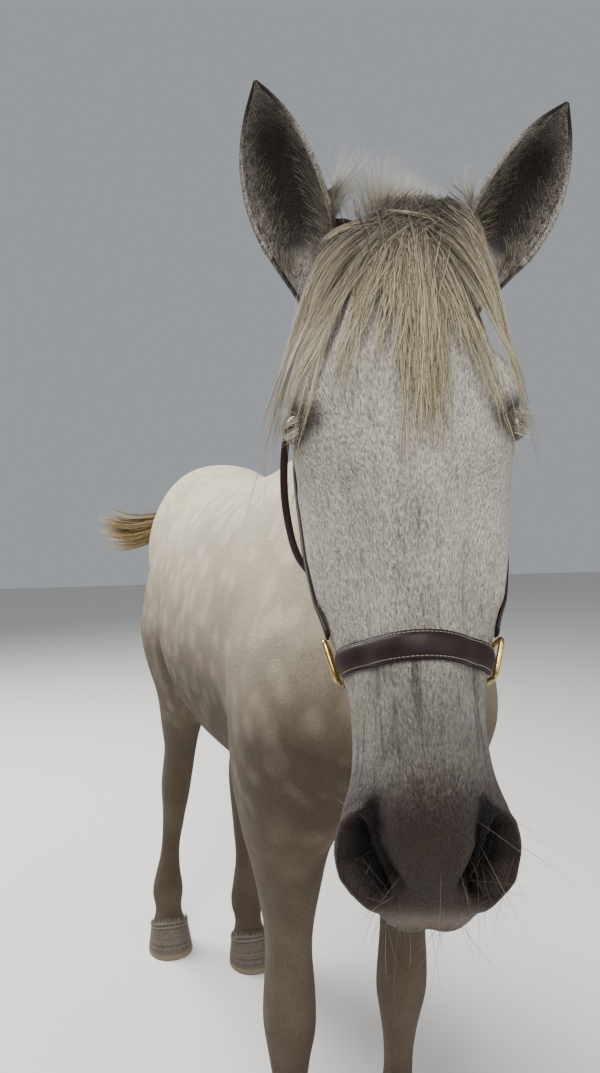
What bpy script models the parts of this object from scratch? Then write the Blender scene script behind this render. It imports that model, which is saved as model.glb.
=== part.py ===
"""A percheron horse at life size, standing still, with a leather halter on its head.

The horse faces -Y with its left side towards +X and stands on the floor at z = 0.
Its trunk, neck, head and legs are lofted from side and front outlines, blended into
one body, and parted with thin flat cuts into head, neck, torso, legs, hooves and tail.
"""

import math

import bmesh
import bpy
import numpy as np
from mathutils import Vector
from mathutils.bvhtree import BVHTree

# Driving dimensions, in metres. Outlines are pairs (place, value) read by a smooth curve.

JOINT_GAP = 0.0003
UP = np.array((0.0, 0.0, 1.0))

# Trunk, by place along Y from the breast to the buttocks
TOPLINE = (
    (-0.35, 1.19), (-0.325, 1.29), (-0.24, 1.46), (-0.10, 1.58), (0.08, 1.645), (0.20, 1.65), (0.42, 1.605),
    (0.70, 1.595), (0.92, 1.64), (1.10, 1.655), (1.28, 1.61), (1.40, 1.52), (1.465, 1.40), (1.49, 1.345),
)
UNDERLINE = (
    (-0.35, 1.13), (-0.325, 1.05), (-0.24, 0.96), (-0.10, 0.89), (0.10, 0.86), (0.40, 0.85), (0.65, 0.865),
    (0.90, 0.93), (1.10, 1.02), (1.28, 1.12), (1.40, 1.20), (1.465, 1.28), (1.49, 1.325),
)
FLANK_LEVEL = (
    (-0.35, 1.16), (-0.10, 1.17), (0.20, 1.19), (0.50, 1.18), (0.80, 1.22), (1.10, 1.37), (1.28, 1.36),
    (1.49, 1.335),
)
TRUNK_HALF_WIDTH = (
    (-0.35, 0.04), (-0.325, 0.13), (-0.27, 0.175), (-0.16, 0.215), (0, 0.23), (0.2, 0.245), (0.4, 0.265),
    (0.62, 0.275), (0.85, 0.258), (1.1, 0.236), (1.28, 0.206), (1.4, 0.16), (1.465, 0.10), (1.49, 0.03),
)
BACK_RIDGE = ((-0.33, 0.2), (0.10, 0.8), (0.25, 0.7), (0.50, 0.15), (0.85, 0.0), (1.10, -0.15), (1.47, 0.0))
BELLY_KEEL = ((-0.33, 0.0), (0.0, 0.35), (0.40, 0.1), (0.80, 0.1), (1.10, 0.4), (1.47, 0.0))

# Foreleg and shoulder, by height, for the left leg; the foot stands at y = 0
FORE_TOP = 1.52
FORE_FRONT = (
    (0.075, -0.070), (0.12, -0.048), (0.17, -0.052), (0.205, -0.048), (0.26, -0.040), (0.42, -0.044),
    (0.50, -0.064), (0.56, -0.062), (0.64, -0.060), (0.76, -0.085), (0.88, -0.135), (1.00, -0.215),
    (1.12, -0.285), (1.24, -0.235), (1.38, -0.09), (1.52, 0.06),
)
FORE_BACK = (
    (0.075, 0.058), (0.12, 0.046), (0.17, 0.064), (0.205, 0.060), (0.26, 0.048), (0.42, 0.050),
    (0.50, 0.062), (0.56, 0.056), (0.64, 0.060), (0.76, 0.088), (0.88, 0.150), (0.96, 0.185),
    (1.12, 0.21), (1.24, 0.23), (1.38, 0.24), (1.52, 0.22),
)
FORE_OUTSIDE = (
    (0.075, 0.192), (0.12, 0.173), (0.17, 0.186), (0.21, 0.180), (0.27, 0.165), (0.4, 0.169),
    (0.49, 0.184), (0.55, 0.184), (0.66, 0.178), (0.78, 0.196), (0.9, 0.224), (1.02, 0.242),
    (1.14, 0.248), (1.26, 0.232), (1.38, 0.188), (1.52, 0.09),
)
FORE_INSIDE = (
    (0.075, 0.068), (0.12, 0.087), (0.17, 0.074), (0.21, 0.080), (0.27, 0.095), (0.4, 0.091),
    (0.49, 0.076), (0.55, 0.076), (0.66, 0.082), (0.78, 0.062), (0.86, 0.045), (0.92, 0.015),
    (1.14, 0.01), (1.26, 0.01), (1.38, 0.01), (1.52, 0.01),
)
FORE_FEET = {"left": (0.135, 0.04), "right": (0.130, -0.03)}
FORE_MIDDLE = 0.130

# Hind leg and haunch, by height, for the left leg; the heel stands under the hock
HIND_TOP = 1.50
HIND_FRONT = (
    (0.075, 1.105), (0.12, 1.135), (0.17, 1.150), (0.21, 1.160), (0.30, 1.172), (0.44, 1.165),
    (0.53, 1.145), (0.60, 1.125), (0.68, 1.095), (0.78, 1.02), (0.90, 0.93), (1.00, 0.875),
    (1.10, 0.865), (1.22, 0.90), (1.36, 0.96), (1.50, 1.04),
)
HIND_BACK = (
    (0.075, 1.235), (0.12, 1.228), (0.17, 1.262), (0.21, 1.262), (0.30, 1.254), (0.44, 1.258),
    (0.53, 1.278), (0.60, 1.298), (0.645, 1.292), (0.70, 1.265), (0.78, 1.28), (0.90, 1.335),
    (1.02, 1.40), (1.16, 1.445), (1.32, 1.455), (1.50, 1.36),
)
HIND_OUTSIDE = (
    (0.075, 0.152), (0.12, 0.135), (0.17, 0.147), (0.21, 0.141), (0.3, 0.126), (0.44, 0.13),
    (0.56, 0.148), (0.63, 0.15), (0.7, 0.158), (0.78, 0.177), (0.9, 0.202), (1.0, 0.235), (1.1, 0.252),
    (1.2, 0.238), (1.3, 0.214), (1.5, 0.14),
)
HIND_INSIDE = (
    (0.075, 0.028), (0.12, 0.045), (0.17, 0.033), (0.21, 0.039), (0.3, 0.054), (0.44, 0.05),
    (0.56, 0.044), (0.63, 0.046), (0.7, 0.052), (0.78, 0.055), (0.9, 0.035), (1.02, 0.015),
    (1.16, 0.01), (1.32, 0.01), (1.5, 0.01),
)
HIND_FEET = {"left": (0.092, -0.085), "right": (0.150, 0.085)}
HIND_MIDDLE = 0.090
SWING_TOP = 1.0
LEG_CUT_HEIGHT = 0.80
LEG_FOOT_END = 0.03

# Hooves: the crown of the hoof wall and the ground line, each as half width and reach
HOOF_HEIGHT = 0.085
HOOF_FORE = {"half_width": (0.066, 0.080), "front": (-0.074, -0.116), "back": (0.060, 0.052)}
HOOF_HIND = {"half_width": (0.061, 0.075), "front": (-0.066, -0.112), "back": (0.062, 0.052)}

# Neck, from inside the chest to the poll
NECK_LINE = (
    (0.0, 0.20, 1.34), (0.0, 0.0, 1.39), (-0.012, -0.18, 1.455), (-0.055, -0.35, 1.545),
    (-0.125, -0.49, 1.64), (-0.222, -0.645, 1.735),
)
NECK_HALF_DEPTH = ((0.0, 0.30), (0.25, 0.285), (0.5, 0.240), (0.75, 0.190), (1.0, 0.145))
NECK_HALF_WIDTH = ((0.0, 0.19), (0.25, 0.165), (0.5, 0.120), (0.75, 0.090), (1.0, 0.078))
NECK_STEPS = 60
NECK_RIDGE = ((0.0, 0.5), (0.4, 0.7), (1.0, 0.25))

# Head, in its own frame: t runs from the poll down the face, n out of the face, s to the left
POLL = np.array((-0.231, -0.693, 1.816))
HEAD_YAW = math.radians(18.1)
HEAD_SLOPE = math.radians(24.7)
HEAD_ROLL = math.radians(2.7)
FACE_LINE = (
    (-0.04, -0.035), (0, -0.010), (0.05, 0.008), (0.125, 0.02), (0.21, 0.018), (0.305, 0.006),
    (0.43, -0.004), (0.53, -0.008), (0.6, -0.018), (0.64, -0.036), (0.675, -0.065), (0.7, -0.098),
)
JAW_LINE = (
    (-0.03, -0.16), (0, -0.19), (0.055, -0.25), (0.125, -0.3), (0.19, -0.325), (0.265, -0.318),
    (0.34, -0.276), (0.43, -0.218), (0.515, -0.182), (0.57, -0.172), (0.625, -0.18), (0.665, -0.172),
    (0.7, -0.14),
)
NOSE_HALF_WIDTH = (
    (-0.03, 0.03), (0, 0.042), (0.055, 0.052), (0.125, 0.062), (0.19, 0.07), (0.245, 0.064),
    (0.325, 0.05), (0.43, 0.038), (0.53, 0.034), (0.6, 0.036), (0.645, 0.038), (0.675, 0.032),
    (0.7, 0.018),
)
CREST_LEVEL = (
    (-0.03, -0.08), (0, -0.075), (0.055, -0.062), (0.125, -0.048), (0.19, -0.034), (0.245, -0.04),
    (0.325, -0.068), (0.43, -0.08), (0.53, -0.074), (0.6, -0.07), (0.645, -0.08), (0.675, -0.095),
    (0.7, -0.112),
)
CREST_HALF_WIDTH = (
    (-0.03, 0.055), (0, 0.072), (0.055, 0.088), (0.125, 0.102), (0.19, 0.115), (0.225, 0.118),
    (0.26, 0.111), (0.3, 0.104), (0.36, 0.097), (0.43, 0.082), (0.475, 0.07), (0.53, 0.062),
    (0.57, 0.064), (0.61, 0.073), (0.64, 0.075), (0.665, 0.068), (0.685, 0.05), (0.7, 0.026),
)
CHEEK_HALF_WIDTH = (
    (-0.03, 0.055), (0, 0.074), (0.055, 0.09), (0.125, 0.102), (0.21, 0.106), (0.285, 0.104),
    (0.36, 0.094), (0.43, 0.075), (0.475, 0.064), (0.53, 0.058), (0.57, 0.059), (0.62, 0.066),
    (0.65, 0.062), (0.68, 0.045), (0.7, 0.024),
)
JAW_HALF_WIDTH = (
    (-0.03, 0.045), (0, 0.055), (0.055, 0.068), (0.125, 0.08), (0.21, 0.08), (0.285, 0.07),
    (0.36, 0.056), (0.43, 0.048), (0.505, 0.042), (0.57, 0.04), (0.625, 0.042), (0.665, 0.036),
    (0.7, 0.016),
)

# Forms of the face, as lines in the head's frame, each with its radius and its height
FACE_FORMS = (
    ([(0.105, 0.190, -0.030)], 0.032, 0.006),
    ([(0.085, 0.145, -0.030)], 0.026, -0.008),
    ([(0.100, 0.29, -0.085), (0.088, 0.40, -0.085)], 0.014, 0.004),
    ([(0.062, 0.31, -0.022), (0.048, 0.50, -0.045)], 0.018, -0.004),
    ([(0.100, 0.22, -0.20)], 0.070, 0.005),
    ([(0.070, 0.615, -0.060), (0.066, 0.650, -0.075)], 0.022, 0.005),
    ([(0.056, 0.606, -0.030), (0.052, 0.640, -0.050), (0.036, 0.668, -0.068)], 0.011, -0.024),
    ([(0.052, 0.625, -0.125), (0.040, 0.660, -0.128), (0.0, 0.700, -0.122)], 0.006, -0.007),
    ([(0.0, 0.650, -0.180)], 0.030, 0.004),
    ([(0.020, 0.690, -0.100)], 0.018, 0.003),
)
HEAD_CUT = (0.0, -0.03, -0.075)
HEAD_CUT_NORMAL = (0.0, -0.455, -0.89)

# Ears, eyes and lids, in the head's frame
EAR_ROOT = (0.078, 0.045, -0.065)
EAR_TIPS = {"left": (0.190, -0.118, 0.048), "right": (-0.150, -0.140, 0.070)}
EAR_FACING = (0.45, 0.25, 1.0)
EAR_WIDTH = ((0.0, 0.030), (0.15, 0.037), (0.35, 0.047), (0.55, 0.048), (0.75, 0.038), (0.9, 0.020), (1.0, 0.002))
EAR_DEPTH = ((0.0, 0.024), (0.2, 0.028), (0.5, 0.026), (0.8, 0.016), (1.0, 0.003))
EAR_CUP = ((0.0, -0.9), (0.20, -0.6), (0.34, 0.45), (0.5, 0.72), (0.9, 0.6), (1.0, 0.2))
EAR_START = -0.12
EAR_WRAP = math.radians(100.0)
EAR_WALL = 0.005
EAR_BEND = 0.012
EAR_BOW = 0.012
EYE_CENTRE = (0.1045, 0.231, -0.052)
EYE_RADIUS = 0.0215
LID_SPAN = math.radians(52.0)
LID_RISE = (math.radians(34.0), math.radians(-32.0))
LID_WIDTH = 0.010

# Tail, from inside the croup, swept to the horse's right
TAIL_LINE = (
    (0.0, 1.38, 1.49), (-0.005, 1.46, 1.505), (-0.04, 1.535, 1.49), (-0.13, 1.59, 1.45),
    (-0.24, 1.61, 1.43), (-0.36, 1.60, 1.46),
)
DOCK_RADIUS = 0.034

# Hair: locks are fanned out from their roots. Each forelock group has a count, the s of its
# first and last root and tip, and the t of its tips
FORELOCK_GROUPS = (
    (6, (-0.024, 0.024), (-0.040, 0.045), (0.205, 0.270)),
    (5, (-0.045, -0.015), (-0.142, -0.060), (0.170, 0.250)),
    (4, (0.018, 0.042), (0.070, 0.140), (0.150, 0.230)),
)
FORELOCK_ROOT_T = (-0.008, 0.022)
FORELOCK_WIDTH = 0.026
FORELOCK_THICKNESS = 0.010
MANE_LOCKS = 17
MANE_SHARES = (0.36, 0.90)
MANE_ANGLES = np.radians((4.0, -22.0, -48.0, -70.0, -88.0))
MANE_WIDTH = 0.058
MANE_THICKNESS = 0.016
TAIL_LOCKS = 15
TAIL_WIDTH = 0.046
TAIL_THICKNESS = 0.018
TAIL_SPREAD = 0.07
TAIL_TIP = 0.045
HAIR_SEED = 7

# Flat cuts between the nodes, each a point of the plane and its direction
NECK_CUT = (0.0, -0.10, 1.45)
NECK_CUT_NORMAL = (0.0, -0.70, 0.714)
TAIL_CUT = (0.0, 1.482, 1.50)
TAIL_CUT_NORMAL = (0.0, 1.0, 0.0)
CROWN_SLOPE = math.radians(20.0)
HIND_FOOT_Y = 1.17
LEG_PARTING_Y = 0.60
ROUGH_CUT = 0.03
HOOF_SQUARENESS = 0.85

# Halter: routes in the head's frame, from the right side to the middle
STRAP_WIDTH = 0.019
NOSE_STRAP_WIDTH = 0.027
STRAP_LIFT = 0.0010
SMOOTHING_ROUNDS = 4
NOSE_ROUTE = [(-0.085, 0.473, -0.074), (-0.080, 0.472, -0.030), (-0.045, 0.472, 0.020), (0.0, 0.472, 0.022)]
CHIN_ROUTE = [(-0.080, 0.482, -0.126), (-0.075, 0.488, -0.160), (-0.045, 0.492, -0.200), (0.0, 0.494, -0.215)]
HEADSTALL_ROUTE = [
    (-0.088, 0.440, -0.090), (-0.100, 0.36, -0.105), (-0.118, 0.28, -0.125), (-0.118, 0.20, -0.135),
    (-0.114, 0.12, -0.132), (-0.112, 0.035, -0.132), (-0.090, -0.040, -0.090), (0.0, -0.060, 0.0),
]
THROAT_ROUTE = [
    (-0.112, 0.105, -0.150), (-0.130, 0.170, -0.190), (-0.130, 0.240, -0.235), (-0.110, 0.285, -0.300),
    (-0.060, 0.300, -0.350), (0.0, 0.302, -0.362),
]
RING_CENTRE = (0.078, 0.463, -0.100)
RING_SIZE = (0.040, 0.030)
RING_RADIUS = 0.0028
RING_LIFT = 0.0065
RING_SQUARENESS = 0.35

# Looks of the nodes by the start of their names: linear colour, roughness and metal
SHARP_ANGLE = math.radians(40.0)
LOOKS = {
    "torso": ((0.52, 0.48, 0.43), 0.8, 0.0),
    "hoof": ((0.14, 0.12, 0.10), 0.6, 0.0),
    "eye": ((0.012, 0.008, 0.006), 0.1, 0.0),
    "halter_ring": ((0.60, 0.45, 0.20), 0.3, 1.0),
    "halter": ((0.06, 0.022, 0.015), 0.5, 0.0),
}


def curve(outline, places):
    """Smooth curve through the pairs of an outline, read at the given places.

    Between two pairs it is the cubic whose ends have the slopes of the pairs around them.
    """
    knots, values = np.array(outline, float).T
    slopes = np.gradient(values, knots)
    places = np.clip(places, knots[0], knots[-1])
    left = np.clip(np.searchsorted(knots, places) - 1, 0, len(knots) - 2)
    span = knots[left + 1] - knots[left]
    part = (places - knots[left]) / span
    start = values[left] * (1 + 2 * part) * (1 - part) ** 2 + span * slopes[left] * part * (1 - part) ** 2
    end = values[left + 1] * part**2 * (3 - 2 * part) + span * slopes[left + 1] * part**2 * (part - 1)
    return start + end


def unit(vectors):
    """The vectors scaled to length one, along their last axis."""
    return vectors / np.linalg.norm(vectors, axis=-1, keepdims=True)


def path(points, count, values=None):
    """Smooth path through the points, as evenly spaced places along it, or values read along it."""
    points = np.array(points, float)
    values = points if values is None else values
    knots = np.concatenate(([0.0], np.cumsum(np.linalg.norm(np.diff(points, axis=0), axis=1))))
    places = np.linspace(0.0, knots[-1], count)
    return np.stack([curve(np.stack([knots, values[:, axis]], 1), places) for axis in range(3)], 1)


def tube(rings):
    """Vertices and faces of a closed skin over the rings, a grid of points (ring, place, axis)."""
    ring_count, size = rings.shape[:2]
    index = np.arange(ring_count * size).reshape(ring_count, size)
    ahead = np.roll(index, -1, axis=1)
    sides = np.stack([index[:-1], ahead[:-1], ahead[1:], index[1:]], -1).reshape(-1, 4)
    faces = sides.tolist() + [index[0, ::-1].tolist(), index[-1].tolist()]
    return rings.reshape(-1, 3), faces


def add_mesh(name, vertices, faces):
    """A new object in the scene from vertices and faces, with its faces pointing out."""
    mesh = bpy.data.meshes.new(name)
    mesh.from_pydata(np.asarray(vertices, float).tolist(), [], faces)
    shape = bmesh.new()
    shape.from_mesh(mesh)
    bmesh.ops.recalc_face_normals(shape, faces=shape.faces)
    shape.to_mesh(mesh)
    shape.free()
    body = bpy.data.objects.new(name, mesh)
    bpy.context.scene.collection.objects.link(body)
    return body


def coordinates(body):
    """The vertices of an object as an array."""
    values = np.empty(len(body.data.vertices) * 3)
    body.data.vertices.foreach_get("co", values)
    return values.reshape(-1, 3)


def set_coordinates(body, values):
    """Moves the vertices of an object to the given places."""
    body.data.vertices.foreach_set("co", np.ravel(values))
    body.data.update()


def normals(body):
    """The vertex normals of an object as an array."""
    values = np.empty(len(body.data.vertices) * 3)
    body.data.vertex_normals.foreach_get("vector", values)
    return values.reshape(-1, 3)


def apply_modifiers(body):
    """Replaces an object's mesh by the one its modifiers give, and drops the modifiers."""
    graph = bpy.context.evaluated_depsgraph_get()
    mesh = bpy.data.meshes.new_from_object(body.evaluated_get(graph))
    old = body.data
    body.modifiers.clear()
    body.data = mesh
    bpy.data.meshes.remove(old)


def remove(body):
    """Removes an object and its mesh."""
    mesh = body.data
    bpy.data.objects.remove(body)
    bpy.data.meshes.remove(mesh)


def copy_of(body, name):
    """A copy of an object with a mesh of its own."""
    twin = bpy.data.objects.new(name, body.data.copy())
    bpy.context.scene.collection.objects.link(twin)
    return twin


def blend(bodies, name, voxel, rounds):
    """One even mesh around overlapping bodies, with its creases smoothed away in rounds."""
    first = bodies[0]
    joined = bmesh.new()
    for body in bodies:
        joined.from_mesh(body.data)
    mesh = bpy.data.meshes.new(name)
    joined.to_mesh(mesh)
    joined.free()
    whole = bpy.data.objects.new(name, mesh)
    bpy.context.scene.collection.objects.link(whole)
    for body in bodies:
        remove(body)
    remesh = whole.modifiers.new("even", "REMESH")
    remesh.mode = "VOXEL"
    remesh.voxel_size = voxel
    smooth = whole.modifiers.new("smooth", "SMOOTH")
    smooth.factor = 0.5
    smooth.iterations = rounds
    apply_modifiers(whole)
    return whole


def thin_out(body, triangles):
    """Collapses edges until the object has about the given number of triangles."""
    tessellate = body.modifiers.new("triangles", "TRIANGULATE")
    tessellate.quad_method = "BEAUTY"
    apply_modifiers(body)
    thinner = body.modifiers.new("thin", "DECIMATE")
    thinner.ratio = min(1.0, triangles / len(body.data.polygons))
    apply_modifiers(body)


def cut_away(body, point, normal):
    """Cuts off what lies beyond the plane, on the side its normal points to, and closes the cut."""
    shape = bmesh.new()
    shape.from_mesh(body.data)
    everything = shape.verts[:] + shape.edges[:] + shape.faces[:]
    bmesh.ops.bisect_plane(
        shape, geom=everything, dist=1e-7, plane_co=tuple(point), plane_no=tuple(normal), clear_outer=True
    )
    rim = [edge for edge in shape.edges if edge.is_boundary]
    bmesh.ops.edgeloop_fill(shape, edges=rim)
    bmesh.ops.recalc_face_normals(shape, faces=shape.faces)
    shape.to_mesh(body.data)
    shape.free()


def keep_largest(body):
    """Keeps the largest closed surface of an object."""
    shape = bmesh.new()
    shape.from_mesh(body.data)
    shape.faces.ensure_lookup_table()
    waiting = set(shape.faces)
    shells = []
    while waiting:
        front = [waiting.pop()]
        shell = list(front)
        while front:
            face = front.pop()
            near = {other for edge in face.edges for other in edge.link_faces} & waiting
            waiting -= near
            front.extend(near)
            shell.extend(near)
        shells.append(shell)
    shells.sort(key=len)
    bmesh.ops.delete(shape, geom=[face for shell in shells[:-1] for face in shell], context="FACES")
    shape.to_mesh(body.data)
    shape.free()


def round_section(count):
    """Angles around a section, starting at the top and turning towards the left side."""
    return np.linspace(0.0, 2.0 * math.pi, count, endpoint=False)


def rounded(angle, ridge):
    """Sideways share of a section at an angle: 0 is an ellipse, above it a narrow ridge."""
    return np.sign(np.sin(angle)) * np.abs(np.sin(angle)) ** (1.0 + ridge)


def trunk(rings=64, size=40):
    """The barrel with chest, back, loin and croup, lofted along Y."""
    along = np.linspace(TOPLINE[0][0], TOPLINE[-1][0], rings)[:, None]
    angle = round_section(size)[None, :]
    upper = 0.5 + 0.5 * np.cos(angle)
    ridge = curve(BACK_RIDGE, along) * upper + curve(BELLY_KEEL, along) * (1.0 - upper)
    middle = curve(FLANK_LEVEL, along)
    rise = np.where(np.cos(angle) > 0, curve(TOPLINE, along) - middle, middle - curve(UNDERLINE, along))
    across = curve(TRUNK_HALF_WIDTH, along) * rounded(angle, ridge)
    level = middle + rise * np.cos(angle)
    return add_mesh("trunk", *tube(np.stack([across, along + 0.0 * angle, level], -1)))


def neck_points(share, angle):
    """Places on the neck at a share of its length and an angle from the crest to the horse's left."""
    steps = path(NECK_LINE, NECK_STEPS)
    knots = np.linspace(0.0, 1.0, NECK_STEPS)
    ahead = np.gradient(steps, axis=0)
    middle, heading = (np.stack([np.interp(share, knots, line[:, axis]) for axis in range(3)], -1)
                       for line in (steps, ahead))
    heading = unit(heading)
    crest = unit(UP - (heading @ UP)[..., None] * heading)
    side = np.cross(heading, crest)
    upper = 0.5 + 0.5 * np.cos(angle)
    across = curve(NECK_HALF_WIDTH, share) * rounded(angle, curve(NECK_RIDGE, share) * upper)
    rise = curve(NECK_HALF_DEPTH, share) * np.cos(angle)
    return middle - across[..., None] * side + rise[..., None] * crest


def neck(rings=24, size=32):
    """The neck, lofted along its bent middle line from the chest to the poll."""
    share, angle = np.meshgrid(np.linspace(0.0, 1.0, rings), round_section(size), indexing="ij")
    return add_mesh("neck", *tube(neck_points(share, angle)))


def leg(name, side, top, outlines, foot, middle, rings=56, size=20):
    """One leg with its shoulder or haunch, lofted through level sections.

    Below the swing height the leg leans so that its foot comes to stand at its own place.
    """
    front, back, outside, inside = outlines
    height = np.linspace(LEG_FOOT_END, top, rings)[:, None]
    angle = round_section(size)[None, :]
    swing = 1.0 - np.clip((height - HOOF_HEIGHT) / (SWING_TOP - HOOF_HEIGHT), 0.0, 1.0)
    swing = swing * swing * (3.0 - 2.0 * swing)
    x_middle = (curve(outside, height) + curve(inside, height)) / 2 + (foot[0] - middle) * swing
    y_middle = (curve(front, height) + curve(back, height)) / 2 + foot[1] * swing
    across = (curve(outside, height) - curve(inside, height)) / 2 * np.sin(angle)
    along = (curve(back, height) - curve(front, height)) / 2 * np.cos(angle)
    sign = 1.0 if side == "left" else -1.0
    grid = np.stack([sign * (x_middle + across), y_middle + along, height + 0.0 * angle], -1)
    return add_mesh(name, *tube(grid))


def head_axes():
    """Directions s, t and n of the head: to its left, down the face and out of the face."""
    yaw, slope = HEAD_YAW, HEAD_SLOPE
    down = np.array((-math.sin(yaw) * math.sin(slope), -math.cos(yaw) * math.sin(slope), -math.cos(slope)))
    out = np.array((-math.sin(yaw) * math.cos(slope), -math.cos(yaw) * math.cos(slope), math.sin(slope)))
    left = np.cross(out, down)
    turned_left = math.cos(HEAD_ROLL) * left + math.sin(HEAD_ROLL) * out
    turned_out = math.cos(HEAD_ROLL) * out - math.sin(HEAD_ROLL) * left
    return np.stack([turned_left, down, turned_out])


def from_head(points):
    """Places in the world of points given in the head's own frame."""
    return POLL + np.asarray(points, float) @ head_axes()


def head(rings=90, size=48):
    """The head, lofted down the face through six-cornered sections with rounded corners."""
    down = np.linspace(FACE_LINE[0][0], FACE_LINE[-1][0], rings)
    face, jaw, crest = curve(FACE_LINE, down), curve(JAW_LINE, down), curve(CREST_LEVEL, down)
    nose_drop = 0.25 * (face - crest)
    widths = [curve(outline, down) for outline in
              (NOSE_HALF_WIDTH, CREST_HALF_WIDTH, CHEEK_HALF_WIDTH, JAW_HALF_WIDTH)]
    levels = [face - nose_drop, crest, 0.45 * crest + 0.55 * jaw + 0.02, jaw + 0.12 * (face - jaw)]
    zero = np.zeros_like(down)
    half_across = np.stack([zero] + widths + [zero], 1)
    half_out = np.stack([face] + levels + [jaw], 1)
    across = np.concatenate([half_across, -half_across[:, -2:0:-1]], 1)
    out = np.concatenate([half_out, half_out[:, -2:0:-1]], 1)
    grid = np.stack([closed_curve(across, size), down[:, None] + np.zeros(size), closed_curve(out, size)], -1)
    return add_mesh("head", *tube(from_head(grid)))


def closed_curve(corners, size):
    """Closed smooth curves through the columns of corners, read at evenly shared places."""
    count = corners.shape[1]
    place = np.linspace(0.0, count, size, endpoint=False)
    left = place.astype(int)
    part = place - left
    before, here, after, beyond = (np.take(corners, (left + shift) % count, axis=1) for shift in (-1, 0, 1, 2))
    bend = (2 * before - 5 * here + 4 * after - beyond) * part**2
    twist = (3 * here - before - 3 * after + beyond) * part**3
    return 0.5 * (2 * here + (after - before) * part + bend + twist)


def near_line(points, line):
    """Distance from each point to a line of straight pieces."""
    nearest = np.full(len(points), np.inf)
    for start, end in zip(line[:-1], line[1:]):
        run = end - start
        share = np.clip((points - start) @ run / (run @ run), 0.0, 1.0)
        nearest = np.minimum(nearest, np.linalg.norm(points - start - share[:, None] * run, axis=1))
    return nearest


def press(body, line, radius, height):
    """Raises, or with a negative height sinks, the skin along a line given in the head's frame."""
    for sign in (-1.0, 1.0):
        points = (coordinates(body) - POLL) @ head_axes().T
        mirrored = np.array(line, float) * (sign, 1.0, 1.0)
        reach = near_line(points, mirrored) if len(line) > 1 else np.linalg.norm(points - mirrored, axis=1)
        lift = height * np.exp(-((reach / radius) ** 2))
        set_coordinates(body, coordinates(body) + lift[:, None] * normals(body))


def clear_scene():
    """Removes every object of the scene that is open."""
    for body in list(bpy.data.objects):
        bpy.data.objects.remove(body)


def dock(rings=16, size=14):
    """The fleshy root of the tail, inside the hair."""
    middle = path(TAIL_LINE, rings)[: rings // 2]
    heading = unit(np.gradient(middle, axis=0))
    side = unit(np.cross(heading, UP))
    above = np.cross(side, heading)
    angle = round_section(size)[None, :, None]
    radius = np.linspace(DOCK_RADIUS, 0.6 * DOCK_RADIUS, len(middle))[:, None, None]
    grid = middle[:, None] + radius * (np.cos(angle) * above[:, None] + np.sin(angle) * side[:, None])
    return add_mesh("dock", *tube(grid))


def build_flesh():
    """The horse's body in one piece, without ears, hooves and hair."""
    fore = (FORE_FRONT, FORE_BACK, FORE_OUTSIDE, FORE_INSIDE)
    hind = (HIND_FRONT, HIND_BACK, HIND_OUTSIDE, HIND_INSIDE)
    parts = [trunk(), neck(), dock()]
    for side in ("left", "right"):
        parts.append(leg(f"fore_{side}", side, FORE_TOP, fore, FORE_FEET[side], FORE_MIDDLE))
        parts.append(leg(f"hind_{side}", side, HIND_TOP, hind, HIND_FEET[side], HIND_MIDDLE))
    body = blend(parts, "body", 0.014, 6)
    flesh = blend([body, head()], "flesh", 0.008, 3)
    for line, radius, height in FACE_FORMS:
        press(flesh, line, radius, height)
    return flesh


def part_of(flesh, name, triangles, planes):
    """The piece of the body behind all the planes, thinned out before its flat cuts are made.

    A first cut stands clear of the true one, so that thinning leaves the cut edges alone.
    """
    body = copy_of(flesh, name)
    for point, normal in planes:
        away = unit(np.array(normal, float))
        cut_away(body, np.array(point) + ROUGH_CUT * away, away)
    thin_out(body, triangles)
    trim(body, planes)
    return body


def trim(body, planes):
    """Cuts a body off at the planes, half a gap short of them, and keeps its largest surface."""
    for point, normal in planes:
        away = unit(np.array(normal, float))
        cut_away(body, np.array(point) - JOINT_GAP / 2 * away, away)
    keep_largest(body)


def boolean(body, other, operation, solver="EXACT"):
    """Joins or cuts a body with another, or with the objects of a collection."""
    change = body.modifiers.new("boolean", "BOOLEAN")
    change.operation = operation
    change.solver = solver
    if isinstance(other, bpy.types.Collection):
        change.operand_type = "COLLECTION"
        change.collection = other
    else:
        change.object = other
    apply_modifiers(body)


def fuse(body, pieces, solver="EXACT"):
    """Joins closed pieces into a body with one union, and keeps its largest surface."""
    group = bpy.data.collections.new("pieces")
    for piece in pieces:
        group.objects.link(piece)
    boolean(body, group, "UNION", solver)
    for piece in pieces:
        remove(piece)
    bpy.data.collections.remove(group)
    keep_largest(body)


def grown(body, name, width):
    """A copy of a body whose skin stands out by a width."""
    twin = copy_of(body, name)
    set_coordinates(twin, coordinates(twin) + width * normals(twin))
    return twin


def carve(body, cutter, width=JOINT_GAP):
    """Cuts a body clear of another one, leaving a gap of the given width between them."""
    tool = grown(cutter, "tool", width * 1.3)
    boolean(body, tool, "DIFFERENCE")
    remove(tool)
    keep_largest(body)


def hoof(name, side, foot, middle_y, sizes, rings=4, size=24):
    """A hoof wall, wider at the ground than at its crown, with a flat sole."""
    share = np.linspace(0.0, 1.0, rings)[:, None]
    angle = round_section(size)[None, :]
    mix = {key: crown + (ground - crown) * (1.0 - share) for key, (crown, ground) in sizes.items()}
    along = (mix["back"] + mix["front"]) / 2 + (mix["back"] - mix["front"]) / 2 * -np.cos(angle)
    across = mix["half_width"] * np.sign(np.sin(angle)) * np.abs(np.sin(angle)) ** HOOF_SQUARENESS
    slope = math.tan(CROWN_SLOPE)
    top = HOOF_HEIGHT - JOINT_GAP - along * slope
    sign = 1.0 if side == "left" else -1.0
    grid = np.stack([sign * foot[0] + across, middle_y + foot[1] + along, top * share], -1)
    return add_mesh(name, *tube(grid))


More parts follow.
